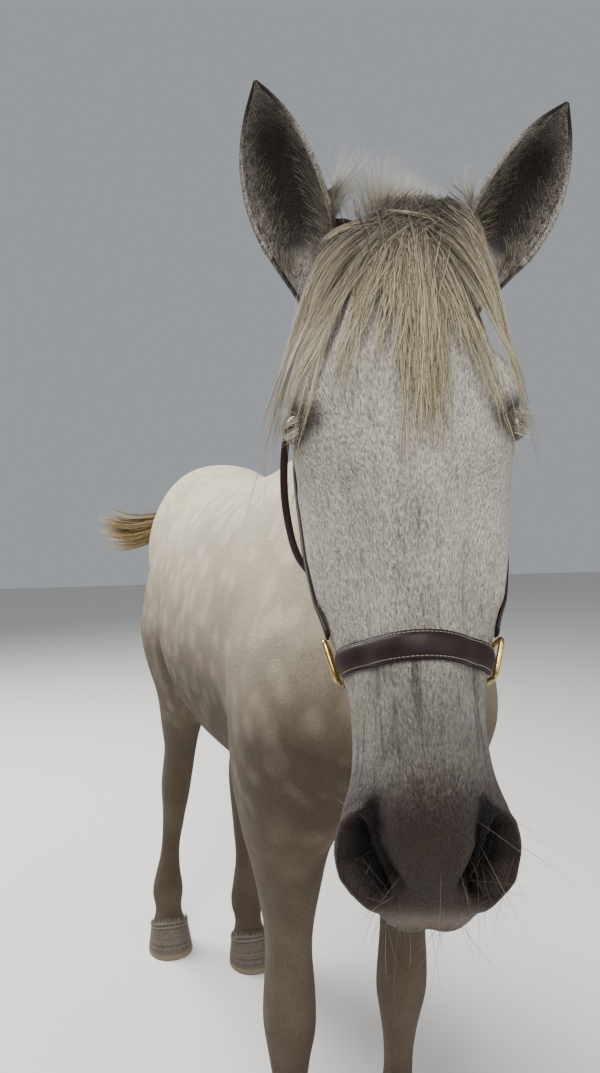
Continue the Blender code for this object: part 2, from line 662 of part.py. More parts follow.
def ear(side, rings=13, size=9):
    """One ear as a cupped leaf from its root in the head to its tip."""
    sign = 1.0 if side == "left" else -1.0
    root = np.array((sign * EAR_ROOT[0], EAR_ROOT[1], EAR_ROOT[2]))
    tip = np.array(EAR_TIPS[side])
    heading = unit(tip - root)
    facing = np.array((sign * EAR_FACING[0], EAR_FACING[1], EAR_FACING[2]))
    facing = unit(facing - (facing @ heading) * heading)
    across = np.cross(heading, facing)
    share = np.linspace(EAR_START, 1.0, rings)
    width, depth, cup = curve(EAR_WIDTH, share), curve(EAR_DEPTH, share), curve(EAR_CUP, share)
    angle = np.linspace(-EAR_WRAP, EAR_WRAP, size)
    bulge = np.sin(math.pi * np.maximum(share, 0.0))[:, None]
    middle = root + share[:, None] * (tip - root) - bulge * (EAR_BEND * facing + sign * EAR_BOW * across)
    outer = (width[:, None] * np.sin(angle), -depth[:, None] * np.cos(angle))
    inner_angle = angle[::-1][1:-1]
    wall = EAR_WALL / np.maximum(width, 2 * EAR_WALL)[:, None]
    inner = ((1 - wall) * width[:, None] * np.sin(inner_angle),
             -(1 - wall) * (cup * depth)[:, None] * np.cos(inner_angle))
    flat = [np.concatenate(pair, 1)[..., None] for pair in zip(outer, inner)]
    grid = middle[:, None] + flat[0] * across + flat[1] * facing
    return add_mesh(f"ear_{side}", *tube(from_head(grid)))


def ball(name, centre, radius, segments=14, rings=8):
    """A ball."""
    mesh = bpy.data.meshes.new(name)
    shape = bmesh.new()
    bmesh.ops.create_uvsphere(shape, u_segments=segments, v_segments=rings, radius=radius)
    bmesh.ops.translate(shape, verts=shape.verts, vec=tuple(centre))
    shape.to_mesh(mesh)
    shape.free()
    body = bpy.data.objects.new(name, mesh)
    bpy.context.scene.collection.objects.link(body)
    return body


def eye_centre(side):
    """The middle of an eyeball in the world."""
    sign = 1.0 if side == "left" else -1.0
    return from_head((sign * EYE_CENTRE[0], EYE_CENTRE[1], EYE_CENTRE[2]))


def ribbon(name, middle, out, width, thickness):
    """A flat tapered strip along a line: a lock of hair, four-sided and ending in points."""
    heading = unit(np.gradient(middle, axis=0))
    across = unit(np.cross(heading, out))
    face = np.cross(across, heading)
    width, thickness = width[:, None] / 2, thickness[:, None] / 2
    corners = [middle + across * width, middle + face * thickness,
               middle - across * width, middle - face * thickness]
    return add_mesh(name, *tube(np.stack(corners, 1)))


def lid(side, rise, name):
    """An eyelid, a bent fold that lies over the eyeball above or below its opening."""
    sign = 1.0 if side == "left" else -1.0
    angle = np.linspace(-LID_SPAN, LID_SPAN, 9)
    lift = rise * np.cos(angle * math.pi / 2 / LID_SPAN)
    reach = EYE_RADIUS + 0.25 * LID_WIDTH
    direction = np.stack([np.cos(angle) * np.cos(lift), -np.sin(lift), np.sin(angle) * np.cos(lift)], 1)
    turned = direction * (sign, 1.0, 1.0)
    local = np.array((sign * EYE_CENTRE[0], EYE_CENTRE[1], EYE_CENTRE[2])) + reach * turned
    middle = from_head(local)
    out = turned @ head_axes()
    width = LID_WIDTH * (0.35 + 0.65 * np.cos(angle * math.pi / 2 / LID_SPAN * 0.95))
    return ribbon(name, middle, out, width, 0.8 * width)


def skin_of(bodies):
    """A searchable surface over the skins of several bodies."""
    vertices, faces = [], []
    for body in bodies:
        faces += [[len(vertices) + corner for corner in face.vertices] for face in body.data.polygons]
        vertices += [vertex.co for vertex in body.data.vertices]
    return BVHTree.FromPolygons(vertices, faces)


def lay(surface, line, height, least=False):
    """Moves the points of a line to a height over a surface, or only out to it where least is set."""
    height = np.broadcast_to(height, len(line))
    laid, out = [], []
    for point, rise in zip(line, height):
        place, normal, _, _ = surface.find_nearest(Vector(point))
        place, normal = np.array(place), np.array(normal)
        above = float((point - place) @ normal)
        laid.append(point if least and above > rise else place + rise * normal)
        out.append(normal)
    out = np.array(out)
    for _ in range(SMOOTHING_ROUNDS):
        out[1:-1] = (out[:-2] + out[1:-1] + out[2:]) / 3
    return np.array(laid), unit(out)


def strap(name, surface, route, width, thickness, count, least=False):
    """A flat strap along a route on the skin, in steps, with four corners in each section."""
    middle, out = lay(surface, path(route, count), STRAP_LIFT + thickness / 2, least)
    ahead = np.gradient(middle, axis=0)
    across = unit(np.cross(ahead, out))
    out = np.cross(across, unit(ahead))
    corners = []
    for side, level in ((-1, -1), (1, -1), (1, 1), (-1, 1)):
        edge = middle + side * width / 2 * across
        laid, _ = lay(surface, edge, STRAP_LIFT, True)
        corners.append(laid + (level + 1) / 2 * thickness * out)
    return add_mesh(name, *tube(np.stack(corners, 1)))


def square_ring(name, centre, axes, size, corners=5, sides=6):
    """A rounded square ring of round metal bar."""
    steps = np.linspace(0.0, 2.0 * math.pi, 4 * corners, endpoint=False) + math.pi / (4 * corners)
    flat = np.stack([np.sign(np.cos(steps)) * np.abs(np.cos(steps)) ** RING_SQUARENESS,
                     np.sign(np.sin(steps)) * np.abs(np.sin(steps)) ** RING_SQUARENESS], 1) * np.array(size) / 2
    middle = centre + flat[:, :1] * axes[0] + flat[:, 1:] * axes[1]
    outward = unit(middle - centre)
    turn = np.linspace(0.0, 2.0 * math.pi, sides, endpoint=False)[None, :, None]
    rings = middle[:, None] + RING_RADIUS * (np.cos(turn) * outward[:, None] + np.sin(turn) * axes[2])
    index = np.arange(len(middle) * sides).reshape(-1, sides)
    after, turned = np.roll(index, -1, 0), np.roll(index, -1, 1)
    faces = np.stack([index, turned, np.roll(after, -1, 1), after], -1).reshape(-1, 4)
    return add_mesh(name, rings.reshape(-1, 3), faces.tolist())


def mirrored(route):
    """A route in the head's frame followed from its start on the right to its twin on the left."""
    other = [(-s, t, n) for s, t, n in route[::-1]]
    return [tuple(point) for point in from_head(route + (other[1:] if route[-1][0] == 0.0 else other))]


def lock(name, line, out, width, thickness, steps=6):
    """One lock of hair along a line, flat, widest near its middle and tapered to its tip."""
    middle = path(line, steps)
    share = np.linspace(0.0, 1.0, steps)
    full = np.sin(math.pi * (0.25 + 0.75 * share**0.8)) ** 0.7 + 0.04
    return ribbon(name, middle, path(line, steps, out), width * full, thickness * full)


def forelock(surface, random):
    """Locks that fall from the poll over the forehead and to both sides of it."""
    pieces = []
    for count, roots, tips, ends in FORELOCK_GROUPS:
        for number in range(count):
            share = (number + 0.5) / count
            root = roots[0] + share * (roots[1] - roots[0])
            tip = tips[0] + share * (tips[1] - tips[0])
            start = random.uniform(*FORELOCK_ROOT_T)
            end = random.uniform(*ends)
            stages = (0.0, 0.15, 0.45, 0.75, 1.0)
            line = [(root + (tip - root) * stage**1.2, start + (end - start) * stage, 0.02) for stage in stages]
            lift = 0.007 + 0.005 * random.random()
            heights = np.array((-0.012, 0.006, lift, lift, lift + 0.004))
            laid, out = lay(surface, from_head(line), heights)
            size = random.uniform(0.85, 1.15)
            pieces.append(lock("lock", laid, out, FORELOCK_WIDTH * size, FORELOCK_THICKNESS * size))
    return pieces


def mane(surface, random):
    """Locks that fall from the crest of the neck over its right side."""
    pieces = []
    for number in range(MANE_LOCKS):
        share = MANE_SHARES[0] + (number + 0.5) / MANE_LOCKS * (MANE_SHARES[1] - MANE_SHARES[0])
        reach = random.uniform(0.85, 1.0)
        slide = random.uniform(-0.05, 0.0)
        shares = share + slide * np.linspace(0.0, 1.0, len(MANE_ANGLES))
        line = neck_points(shares, MANE_ANGLES * reach)
        lift = 0.010 + 0.006 * random.random()
        laid, out = lay(surface, line, np.array((-0.018, 0.008, lift, lift, lift)))
        size = random.uniform(0.9, 1.1)
        pieces.append(lock("lock", laid, out, MANE_WIDTH * size, MANE_THICKNESS * size))
    return pieces


def tail_hair(random):
    """Locks that grow from the dock and sweep with it to the horse's right."""
    pieces = []
    middle = path(TAIL_LINE, 21)
    middle = np.vstack([middle, middle[-1] + TAIL_TIP * unit(middle[-1] - middle[-2])])
    for number in range(TAIL_LOCKS):
        turn = 2.0 * math.pi * (number + 0.3) / TAIL_LOCKS
        first = 5 + int(3 * random.random())
        line = middle[first:].copy()
        share = np.linspace(0.0, 1.0, len(line))[:, None]
        offset = np.array((0.15 * math.cos(turn), 0.6 * math.cos(turn), math.sin(turn)))
        spread = TAIL_SPREAD * random.uniform(0.7, 1.1)
        line = line + offset * (0.25 * DOCK_RADIUS + spread * share**1.3)
        out = np.tile(unit(offset + 0.01), (len(line), 1))
        size = random.uniform(0.85, 1.1)
        pieces.append(lock("lock", line[::3], out[::3], TAIL_WIDTH * size, TAIL_THICKNESS * size))
    return pieces


def halter(surface):
    """The leather halter: nose and chin straps between two rings, headstall and throat strap."""
    pieces = [
        strap("halter_noseband", surface, mirrored(NOSE_ROUTE), NOSE_STRAP_WIDTH, 0.006, 22),
        strap("halter_chin", surface, mirrored(CHIN_ROUTE), STRAP_WIDTH, 0.005, 20),
        strap("halter_headstall", surface, mirrored(HEADSTALL_ROUTE), STRAP_WIDTH, 0.004, 60),
        strap("halter_throat", surface, mirrored(THROAT_ROUTE), 0.010, 0.009, 34, least=True),
    ]
    for side, sign in (("left", 1.0), ("right", -1.0)):
        wanted = from_head((sign * RING_CENTRE[0], RING_CENTRE[1], RING_CENTRE[2]))
        place, out, _, _ = surface.find_nearest(Vector(wanted))
        out, down = np.array(out), head_axes()[1]
        long = unit(down - (down @ out) * out)
        frame = (long, np.cross(out, long), out)
        pieces.append(square_ring(f"halter_ring_{side}", np.array(place) + RING_LIFT * out, frame, RING_SIZE))
    return pieces


def main():
    """Builds the horse."""
    clear_scene()
    flesh = build_flesh()
    torso_planes = [(NECK_CUT, NECK_CUT_NORMAL), (TAIL_CUT, TAIL_CUT_NORMAL), ((0, 0, LEG_CUT_HEIGHT), (0, 0, -1))]
    back = [-value for value in NECK_CUT_NORMAL]
    head_cut, head_normal = from_head(HEAD_CUT), np.array(HEAD_CUT_NORMAL) @ head_axes()
    bodies = {"torso": part_of(flesh, "torso", 1700, torso_planes)}
    bodies["neck"] = part_of(flesh, "neck", 800, [(NECK_CUT, back), (head_cut, -head_normal)])
    bodies["head"] = part_of(flesh, "head", 2600, [(head_cut, head_normal)])
    bodies["tail"] = part_of(flesh, "tail", 160, [(TAIL_CUT, [-value for value in TAIL_CUT_NORMAL])])
    middle_y = {"fore": 0.0, "hind": HIND_FOOT_Y}
    feet = {"fore": FORE_FEET, "hind": HIND_FEET}
    sizes = {"fore": HOOF_FORE, "hind": HOOF_HIND}
    for end in ("fore", "hind"):
        for side in ("left", "right"):
            sign = 1.0 if side == "left" else -1.0
            foot = feet[end][side]
            crown = (sign * foot[0], middle_y[end] + foot[1], HOOF_HEIGHT)
            crown_normal = (0.0, -math.sin(CROWN_SLOPE), -math.cos(CROWN_SLOPE))
            between = (0.0, LEG_PARTING_Y, 0.0)
            bodies[f"{end}leg_{side}"] = part_of(flesh, f"{end}leg_{side}", 440, [
                ((0.0, 0.0, LEG_CUT_HEIGHT), (0, 0, 1)), (crown, crown_normal),
                ((0.0, 0.0, 0.0), (-sign, 0, 0)), (between, (0, 1 if end == "fore" else -1, 0)),
            ])
            bodies[f"hoof_{end}_{side}"] = hoof(f"hoof_{end}_{side}", side, foot, middle_y[end], sizes[end])
    remove(flesh)
    surface = skin_of([bodies["head"], bodies["neck"]])
    for side in ("left", "right"):
        bodies[f"ear_{side}"] = ear(side)
        bodies[f"eye_{side}"] = ball(f"eye_{side}", eye_centre(side), EYE_RADIUS)
        lids = [lid(side, rise, f"lid_{number}") for number, rise in enumerate(LID_RISE)]
        fuse(bodies["head"], lids)
        carve(bodies["head"], bodies[f"ear_{side}"])
        carve(bodies["head"], bodies[f"eye_{side}"])
    random = np.random.default_rng(HAIR_SEED)
    straps = halter(surface)
    fuse(bodies["head"], forelock(surface, random))
    fuse(bodies["neck"], mane(surface, random))
    trim(bodies["neck"], [(NECK_CUT, back), (head_cut, -head_normal)])
    fuse(bodies["tail"], tail_hair(random))
    for piece in straps:
        bodies[piece.name] = piece
    finish(bodies)


def colour_of(name):
    """Colour, roughness and metal of the node with a name."""
    for start, look in LOOKS.items():
        if name.startswith(start):
            return look
    return LOOKS["torso"]


def finish(bodies):
    """Moves the horse so that the origin is under the middle of its box, and gives each node its look."""
    corners = np.concatenate([coordinates(body) for body in bodies.values()])
    low, high = corners.min(0), corners.max(0)
    shift = np.array(((low[0] + high[0]) / 2, (low[1] + high[1]) / 2, low[2]))
    for name, body in bodies.items():
        set_coordinates(body, coordinates(body) - shift)
        colour, roughness, metal = colour_of(name)
        material = bpy.data.materials.new(name)
        material.use_nodes = True
        shader = material.node_tree.nodes["Principled BSDF"]
        shader.inputs["Base Color"].default_value = (*colour, 1.0)
        shader.inputs["Roughness"].default_value = roughness
        shader.inputs["Metallic"].default_value = metal
        material.diffuse_color = (*colour, 1.0)
        body.data.materials.clear()
        body.data.materials.append(material)
        body.data.shade_smooth()
        body.data.set_sharp_from_angle(angle=SHARP_ANGLE)


main()
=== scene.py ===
"""Looks of a life-size grey percheron that stands still in a leather halter.

The file is laid out as a Blender add-on and is run as a script. The horse faces -Y with its
left side towards +X. Its skin, hair, eyes, hooves and halter are surfaces worked out from
the sizes below, which are in metres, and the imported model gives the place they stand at.
"""

import math
from functools import partial

import bmesh
import bpy
import numpy as np
from mathutils import Euler, Matrix, Vector


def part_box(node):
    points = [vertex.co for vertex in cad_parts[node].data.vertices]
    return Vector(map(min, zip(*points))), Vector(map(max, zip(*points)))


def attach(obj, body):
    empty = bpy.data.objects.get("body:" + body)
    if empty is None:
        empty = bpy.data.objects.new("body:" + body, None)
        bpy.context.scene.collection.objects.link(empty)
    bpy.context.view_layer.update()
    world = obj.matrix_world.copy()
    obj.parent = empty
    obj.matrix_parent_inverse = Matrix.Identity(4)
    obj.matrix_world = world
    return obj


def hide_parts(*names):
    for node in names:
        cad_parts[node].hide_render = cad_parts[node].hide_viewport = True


bl_info = {
    "name": "Percheron horse",
    "version": (1, 0, 0),
    "blender": (4, 5, 0),
    "location": "View3D > Sidebar > Percheron",
    "description": "Builds the looks of a life-size grey percheron in a leather halter",
    "category": "Add Mesh",
}

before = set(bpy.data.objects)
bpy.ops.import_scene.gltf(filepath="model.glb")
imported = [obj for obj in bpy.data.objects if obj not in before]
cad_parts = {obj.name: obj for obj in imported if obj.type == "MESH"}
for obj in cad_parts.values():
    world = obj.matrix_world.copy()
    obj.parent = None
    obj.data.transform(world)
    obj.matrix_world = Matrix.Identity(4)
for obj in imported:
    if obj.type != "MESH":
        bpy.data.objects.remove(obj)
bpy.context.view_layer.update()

FLESH = ("torso", "neck", "head", "tail", "ear_left", "ear_right",
         "foreleg_left", "foreleg_right", "hindleg_left", "hindleg_right")
SIDES = (("left", 1.0), ("right", -1.0))
UP = np.array((0.0, 0.0, 1.0))

# Outlines, as pairs (place, value) read by a smooth curve; the hooves stand at z = 0

# Trunk, by place along Y from the breast to the buttocks
TOPLINE = (
    (-0.35, 1.19), (-0.325, 1.29), (-0.24, 1.46), (-0.1, 1.58), (0.08, 1.645), (0.2, 1.65), (0.42, 1.605),
    (0.7, 1.595), (0.92, 1.64), (1.1, 1.655), (1.28, 1.61), (1.4, 1.52), (1.465, 1.4), (1.49, 1.345),
)
UNDERLINE = (
    (-0.35, 1.13), (-0.325, 1.05), (-0.24, 0.96), (-0.1, 0.89), (0.1, 0.86), (0.4, 0.85), (0.65, 0.865),
    (0.9, 0.93), (1.1, 1.02), (1.28, 1.12), (1.4, 1.2), (1.465, 1.28), (1.49, 1.325),
)
FLANK_LEVEL = (
    (-0.35, 1.16), (-0.1, 1.17), (0.2, 1.19), (0.5, 1.18), (0.8, 1.22), (1.1, 1.37), (1.28, 1.36),
    (1.49, 1.335),
)
TRUNK_HALF_WIDTH = (
    (-0.35, 0.04), (-0.325, 0.13), (-0.27, 0.175), (-0.16, 0.215), (0, 0.23), (0.2, 0.245), (0.4, 0.265),
    (0.62, 0.275), (0.85, 0.258), (1.1, 0.236), (1.28, 0.206), (1.4, 0.16), (1.465, 0.1), (1.49, 0.03),
)
BACK_RIDGE = ((-0.33, 0.2), (0.1, 0.8), (0.25, 0.7), (0.5, 0.15), (0.85, 0.0), (1.1, -0.15), (1.47, 0.0))
BELLY_KEEL = ((-0.33, 0.0), (0.0, 0.35), (0.4, 0.1), (0.8, 0.1), (1.1, 0.4), (1.47, 0.0))

# Foreleg and shoulder, by height, for the left leg; the foot stands at y = 0
FORE_TOP = 1.52
FORE_FRONT = (
    (0.075, -0.07), (0.12, -0.048), (0.17, -0.052), (0.205, -0.048), (0.26, -0.04), (0.42, -0.044),
    (0.5, -0.064), (0.56, -0.062), (0.64, -0.06), (0.76, -0.085), (0.88, -0.135), (1.00, -0.215),
    (1.12, -0.285), (1.24, -0.235), (1.38, -0.09), (1.52, 0.06),
)
FORE_BACK = (
    (0.075, 0.058), (0.12, 0.046), (0.17, 0.064), (0.205, 0.06), (0.26, 0.048), (0.42, 0.05),
    (0.5, 0.062), (0.56, 0.056), (0.64, 0.06), (0.76, 0.088), (0.88, 0.15), (0.96, 0.185),
    (1.12, 0.21), (1.24, 0.23), (1.38, 0.24), (1.52, 0.22),
)
FORE_OUTSIDE = (
    (0.075, 0.192), (0.12, 0.173), (0.17, 0.186), (0.21, 0.18), (0.27, 0.165), (0.4, 0.169),
    (0.49, 0.184), (0.55, 0.184), (0.66, 0.178), (0.78, 0.196), (0.9, 0.224), (1.02, 0.242),
    (1.14, 0.248), (1.26, 0.232), (1.38, 0.188), (1.52, 0.09),
)
FORE_INSIDE = (
    (0.075, 0.068), (0.12, 0.087), (0.17, 0.074), (0.21, 0.08), (0.27, 0.095), (0.4, 0.091),
    (0.49, 0.076), (0.55, 0.076), (0.66, 0.082), (0.78, 0.062), (0.86, 0.045), (0.92, 0.015),
    (1.14, 0.01), (1.26, 0.01), (1.38, 0.01), (1.52, 0.01),
)
FORE_FEET = {"left": (0.135, 0.04), "right": (0.13, -0.03)}
FORE_MIDDLE = 0.13

# Hind leg and haunch, by height, for the left leg; the heel stands under the hock
HIND_TOP = 1.5
HIND_FRONT = (
    (0.075, 1.105), (0.12, 1.135), (0.17, 1.15), (0.21, 1.16), (0.3, 1.172), (0.44, 1.165),
    (0.53, 1.145), (0.6, 1.125), (0.68, 1.095), (0.78, 1.02), (0.9, 0.93), (1.00, 0.875),
    (1.1, 0.865), (1.22, 0.9), (1.36, 0.96), (1.5, 1.04),
)
HIND_BACK = (
    (0.075, 1.235), (0.12, 1.228), (0.17, 1.262), (0.21, 1.262), (0.3, 1.254), (0.44, 1.258),
    (0.53, 1.278), (0.6, 1.298), (0.645, 1.292), (0.7, 1.265), (0.78, 1.28), (0.9, 1.335),
    (1.02, 1.4), (1.16, 1.445), (1.32, 1.455), (1.5, 1.36),
)
HIND_OUTSIDE = (
    (0.075, 0.152), (0.12, 0.135), (0.17, 0.147), (0.21, 0.141), (0.3, 0.126), (0.44, 0.13),
    (0.56, 0.148), (0.63, 0.15), (0.7, 0.158), (0.78, 0.177), (0.9, 0.202), (1.0, 0.235), (1.1, 0.252),
    (1.2, 0.238), (1.3, 0.214), (1.5, 0.14),
)
HIND_INSIDE = (
    (0.075, 0.028), (0.12, 0.045), (0.17, 0.033), (0.21, 0.039), (0.3, 0.054), (0.44, 0.05),
    (0.56, 0.044), (0.63, 0.046), (0.7, 0.052), (0.78, 0.055), (0.9, 0.035), (1.02, 0.015),
    (1.16, 0.01), (1.32, 0.01), (1.5, 0.01),
)
HIND_FEET = {"left": (0.092, -0.085), "right": (0.15, 0.085)}
HIND_MIDDLE = 0.09
SWING_TOP = 1.0
LEG_FOOT_END = 0.03

# Hooves: the crown of the hoof wall and the ground line, each as half width and reach
HIND_FOOT_Y = 1.17
HOOF_HEIGHT = 0.085
HOOF_SQUARENESS = 0.85
HOOF_FORE = {"half_width": (0.066, 0.08), "front": (-0.074, -0.116), "back": (0.06, 0.052)}
HOOF_HIND = {"half_width": (0.061, 0.075), "front": (-0.066, -0.112), "back": (0.062, 0.052)}
HOOVES = (("fore", 0.0, HOOF_FORE, FORE_FEET), ("hind", HIND_FOOT_Y, HOOF_HIND, HIND_FEET))
HOOF_RINGS, HOOF_RIPPLE, HOOF_ROLL = 9, 0.012, 0.02
CROWN_SLOPE = math.radians(20.0)
CROWN_HAIRS, CROWN_HAIR_LENGTHS, CROWN_HAIR_WIDTH = 420, (0.012, 0.024), 0.0014

# Neck, from inside the chest to the poll
NECK_LINE = (
    (0.0, 0.2, 1.34), (0.0, 0.0, 1.39), (-0.012, -0.18, 1.455), (-0.055, -0.35, 1.545),
    (-0.125, -0.49, 1.64), (-0.222, -0.645, 1.735),
)
NECK_HALF_DEPTH = ((0.0, 0.3), (0.25, 0.285), (0.5, 0.24), (0.75, 0.19), (1.0, 0.145))
NECK_HALF_WIDTH = ((0.0, 0.19), (0.25, 0.165), (0.5, 0.12), (0.75, 0.09), (1.0, 0.078))
NECK_STEPS = 60
NECK_RIDGE = ((0.0, 0.5), (0.4, 0.7), (1.0, 0.25))

# Head, in its own frame: t runs from the poll down the face, n out of the face, s to the left
POLL = np.array((-0.231, -0.693, 1.816))
HEAD_YAW = math.radians(18.1)
HEAD_SLOPE = math.radians(24.7)
HEAD_ROLL = math.radians(2.7)
FACE_LINE = (
    (-0.04, -0.035), (0, -0.01), (0.05, 0.008), (0.125, 0.02), (0.21, 0.018), (0.305, 0.006),
    (0.43, -0.004), (0.53, -0.008), (0.6, -0.018), (0.64, -0.036), (0.675, -0.065), (0.7, -0.098),
)
JAW_LINE = (
    (-0.03, -0.16), (0, -0.19), (0.055, -0.25), (0.125, -0.3), (0.19, -0.325), (0.265, -0.318),
    (0.34, -0.276), (0.43, -0.218), (0.515, -0.182), (0.57, -0.172), (0.625, -0.18), (0.665, -0.172),
    (0.7, -0.14),
)
NOSE_HALF_WIDTH = (
    (-0.03, 0.03), (0, 0.042), (0.055, 0.052), (0.125, 0.062), (0.19, 0.07), (0.245, 0.064),
    (0.325, 0.05), (0.43, 0.038), (0.53, 0.034), (0.6, 0.036), (0.645, 0.038), (0.675, 0.032),
    (0.7, 0.018),
)
CREST_LEVEL = (
    (-0.03, -0.08), (0, -0.075), (0.055, -0.062), (0.125, -0.048), (0.19, -0.034), (0.245, -0.04),
    (0.325, -0.068), (0.43, -0.08), (0.53, -0.074), (0.6, -0.07), (0.645, -0.08), (0.675, -0.095),
    (0.7, -0.112),
)
CREST_HALF_WIDTH = (
    (-0.03, 0.055), (0, 0.072), (0.055, 0.088), (0.125, 0.102), (0.19, 0.115), (0.225, 0.118),
    (0.26, 0.111), (0.3, 0.104), (0.36, 0.097), (0.43, 0.082), (0.475, 0.07), (0.53, 0.062),
    (0.57, 0.064), (0.61, 0.073), (0.64, 0.075), (0.665, 0.068), (0.685, 0.05), (0.7, 0.026),
)
CHEEK_HALF_WIDTH = (
    (-0.03, 0.055), (0, 0.074), (0.055, 0.09), (0.125, 0.102), (0.21, 0.106), (0.285, 0.104),
    (0.36, 0.094), (0.43, 0.075), (0.475, 0.064), (0.53, 0.058), (0.57, 0.059), (0.62, 0.066),
    (0.65, 0.062), (0.68, 0.045), (0.7, 0.024),
)
JAW_HALF_WIDTH = (
    (-0.03, 0.045), (0, 0.055), (0.055, 0.068), (0.125, 0.08), (0.21, 0.08), (0.285, 0.07),
    (0.36, 0.056), (0.43, 0.048), (0.505, 0.042), (0.57, 0.04), (0.625, 0.042), (0.665, 0.036),
    (0.7, 0.016),
)
NOSE_ROUND, JAW_ROUND = 0.25, 0.12
CHEEK_MIX, CHEEK_RAISE = (0.45, 0.55), 0.02

# Forms of the face, as lines in the head's frame, each with its radius and its height
FACE_FORMS = (
    ([(0.105, 0.19, -0.03)], 0.032, 0.006),
    ([(0.085, 0.145, -0.03)], 0.026, -0.008),
    ([(0.1, 0.29, -0.085), (0.088, 0.4, -0.085)], 0.014, 0.004),
    ([(0.062, 0.31, -0.022), (0.048, 0.5, -0.045)], 0.018, -0.004),
    ([(0.1, 0.22, -0.2)], 0.07, 0.005),
    ([(0.07, 0.615, -0.06), (0.066, 0.65, -0.075)], 0.022, 0.005),
    ([(0.056, 0.606, -0.03), (0.052, 0.64, -0.05), (0.036, 0.668, -0.068)], 0.011, -0.024),
    ([(0.052, 0.625, -0.125), (0.04, 0.66, -0.128), (0.0, 0.7, -0.122)], 0.006, -0.007),
    ([(0.0, 0.65, -0.18)], 0.03, 0.004),
    ([(0.02, 0.69, -0.1)], 0.018, 0.003),
)

# The plane that parts head and neck: a point of it and the way out of the head, in the head's frame
HEAD_CUT = (0.0, -0.03, -0.075)
HEAD_CUT_NORMAL = (0.0, -0.455, -0.89)

# Ears, in the head's frame: width and depth along the ear, and the share of the depth that its cup takes
EAR_ROOT = (0.078, 0.045, -0.065)
EAR_TIPS = {"left": (0.19, -0.118, 0.048), "right": (-0.15, -0.14, 0.07)}
EAR_FACING = (0.45, 0.25, 1.0)
EAR_WIDTH = (
    (0.0, 0.03), (0.15, 0.037), (0.35, 0.047), (0.55, 0.048), (0.75, 0.038), (0.9, 0.02), (1.0, 0.002),
)
EAR_DEPTH = ((0.0, 0.024), (0.2, 0.028), (0.5, 0.026), (0.8, 0.016), (1.0, 0.003))
EAR_CUP = ((0.0, -0.9), (0.2, -0.6), (0.34, 0.45), (0.5, 0.72), (0.9, 0.6), (1.0, 0.2))
EAR_WRAP = math.radians(100.0)
EAR_WALL = 0.005
EAR_START = -0.12
EAR_BEND, EAR_BOW = 0.012, 0.012
EAR_DARK_WIDTH, EAR_DARK_START, EAR_DARK_END, EAR_DARK_LOSS = 0.62, (0.14, 0.3), (0.75, 1.0), 0.45
EAR_RIM_WIDTH, EAR_RIM_START = 0.1, (0.7, 0.95)
EAR_HAIRS = 2600
EAR_INNER_SHARE = 0.62
EAR_HAIR_PLACES, EAR_INNER_PLACES, EAR_EDGE_PLACES = (0.1, 0.97), (0.25, 1.0), (0.9, 1.02)
EAR_HAIR_LENGTHS = (0.022, 0.011)
EAR_HAIR_WIDTH = 0.0005

# Eyes, in the head's frame: the eyeball, the place of the imported model's own, and the middle and reach of
# the dark mark round the eye, which is dark lid skin and painted shade of the socket
EYE_CENTRE = (0.1015, 0.231, -0.0455)
SOLID_EYE_CENTRE = (0.1045, 0.231, -0.052)
DARK_LID_AND_SHADE_CENTRE, DARK_LID_AND_SHADE_RADIUS = (0.101, 0.231, -0.034), 0.029
EYE_RADIUS, EYE_GAP = 0.0215, 0.0004
EYE_AXIS = (1.0, 0.12, 0.8)
CORNEA_RISE, CORNEA_ANGLE = 0.001, math.radians(32.0)

# Eyelids, as angles from the eye's axis, and the profile across them: shares of the way out
# from the opening, each with the height over the eyeball; the first eight are the outer face
LID_LONG, LID_UPPER, LID_LOWER = math.radians(47.0), math.radians(30.0), math.radians(27.0)
LID_END = math.radians(66.0)
LID_TILT = math.radians(20.0)
LID_POINTEDNESS = 1.5
LID_PROFILE = (
    (0.0, 0.0002), (0.02, 0.0016), (0.09, 0.0029), (0.24, 0.0036), (0.45, 0.0032), (0.72, 0.0022),
    (1.0, 0.001), (1.05, -0.003), (0.6, -0.003), (0.1, -0.0012),
)
LID_OUTER = 8
LID_RIDGE = 3
LID_SINK, LID_SINK_DEPTH = (0.3, 0.95), 0.0006

# Muzzle: the nostril is a line down its inner rim with the width of the pit along it
NOSTRIL_LINE = (
    (0.056, 0.603, -0.032), (0.064, 0.626, -0.054), (0.062, 0.65, -0.07), (0.047, 0.669, -0.083),
)
NOSTRIL_WIDTHS = (0.006, 0.012, 0.0175, 0.013)
NOSTRIL_DEPTH = 0.036
NOSTRIL_INWARD = (-0.62, -0.35, -0.7)
NOSTRIL_WING = 0.0045
WING_PLACE, WING_BREADTH = 1.35, 0.5
MOUTH_LINE = ((0.054, 0.618, -0.126), (0.044, 0.655, -0.13), (0.03, 0.682, -0.128), (0.0, 0.694, -0.126))
MOUTH_WIDTH, MOUTH_DEPTH = 0.0045, 0.011
MUZZLE_START = 0.56
PIT_REACH, MOUTH_REACH = 1.7, 2.2

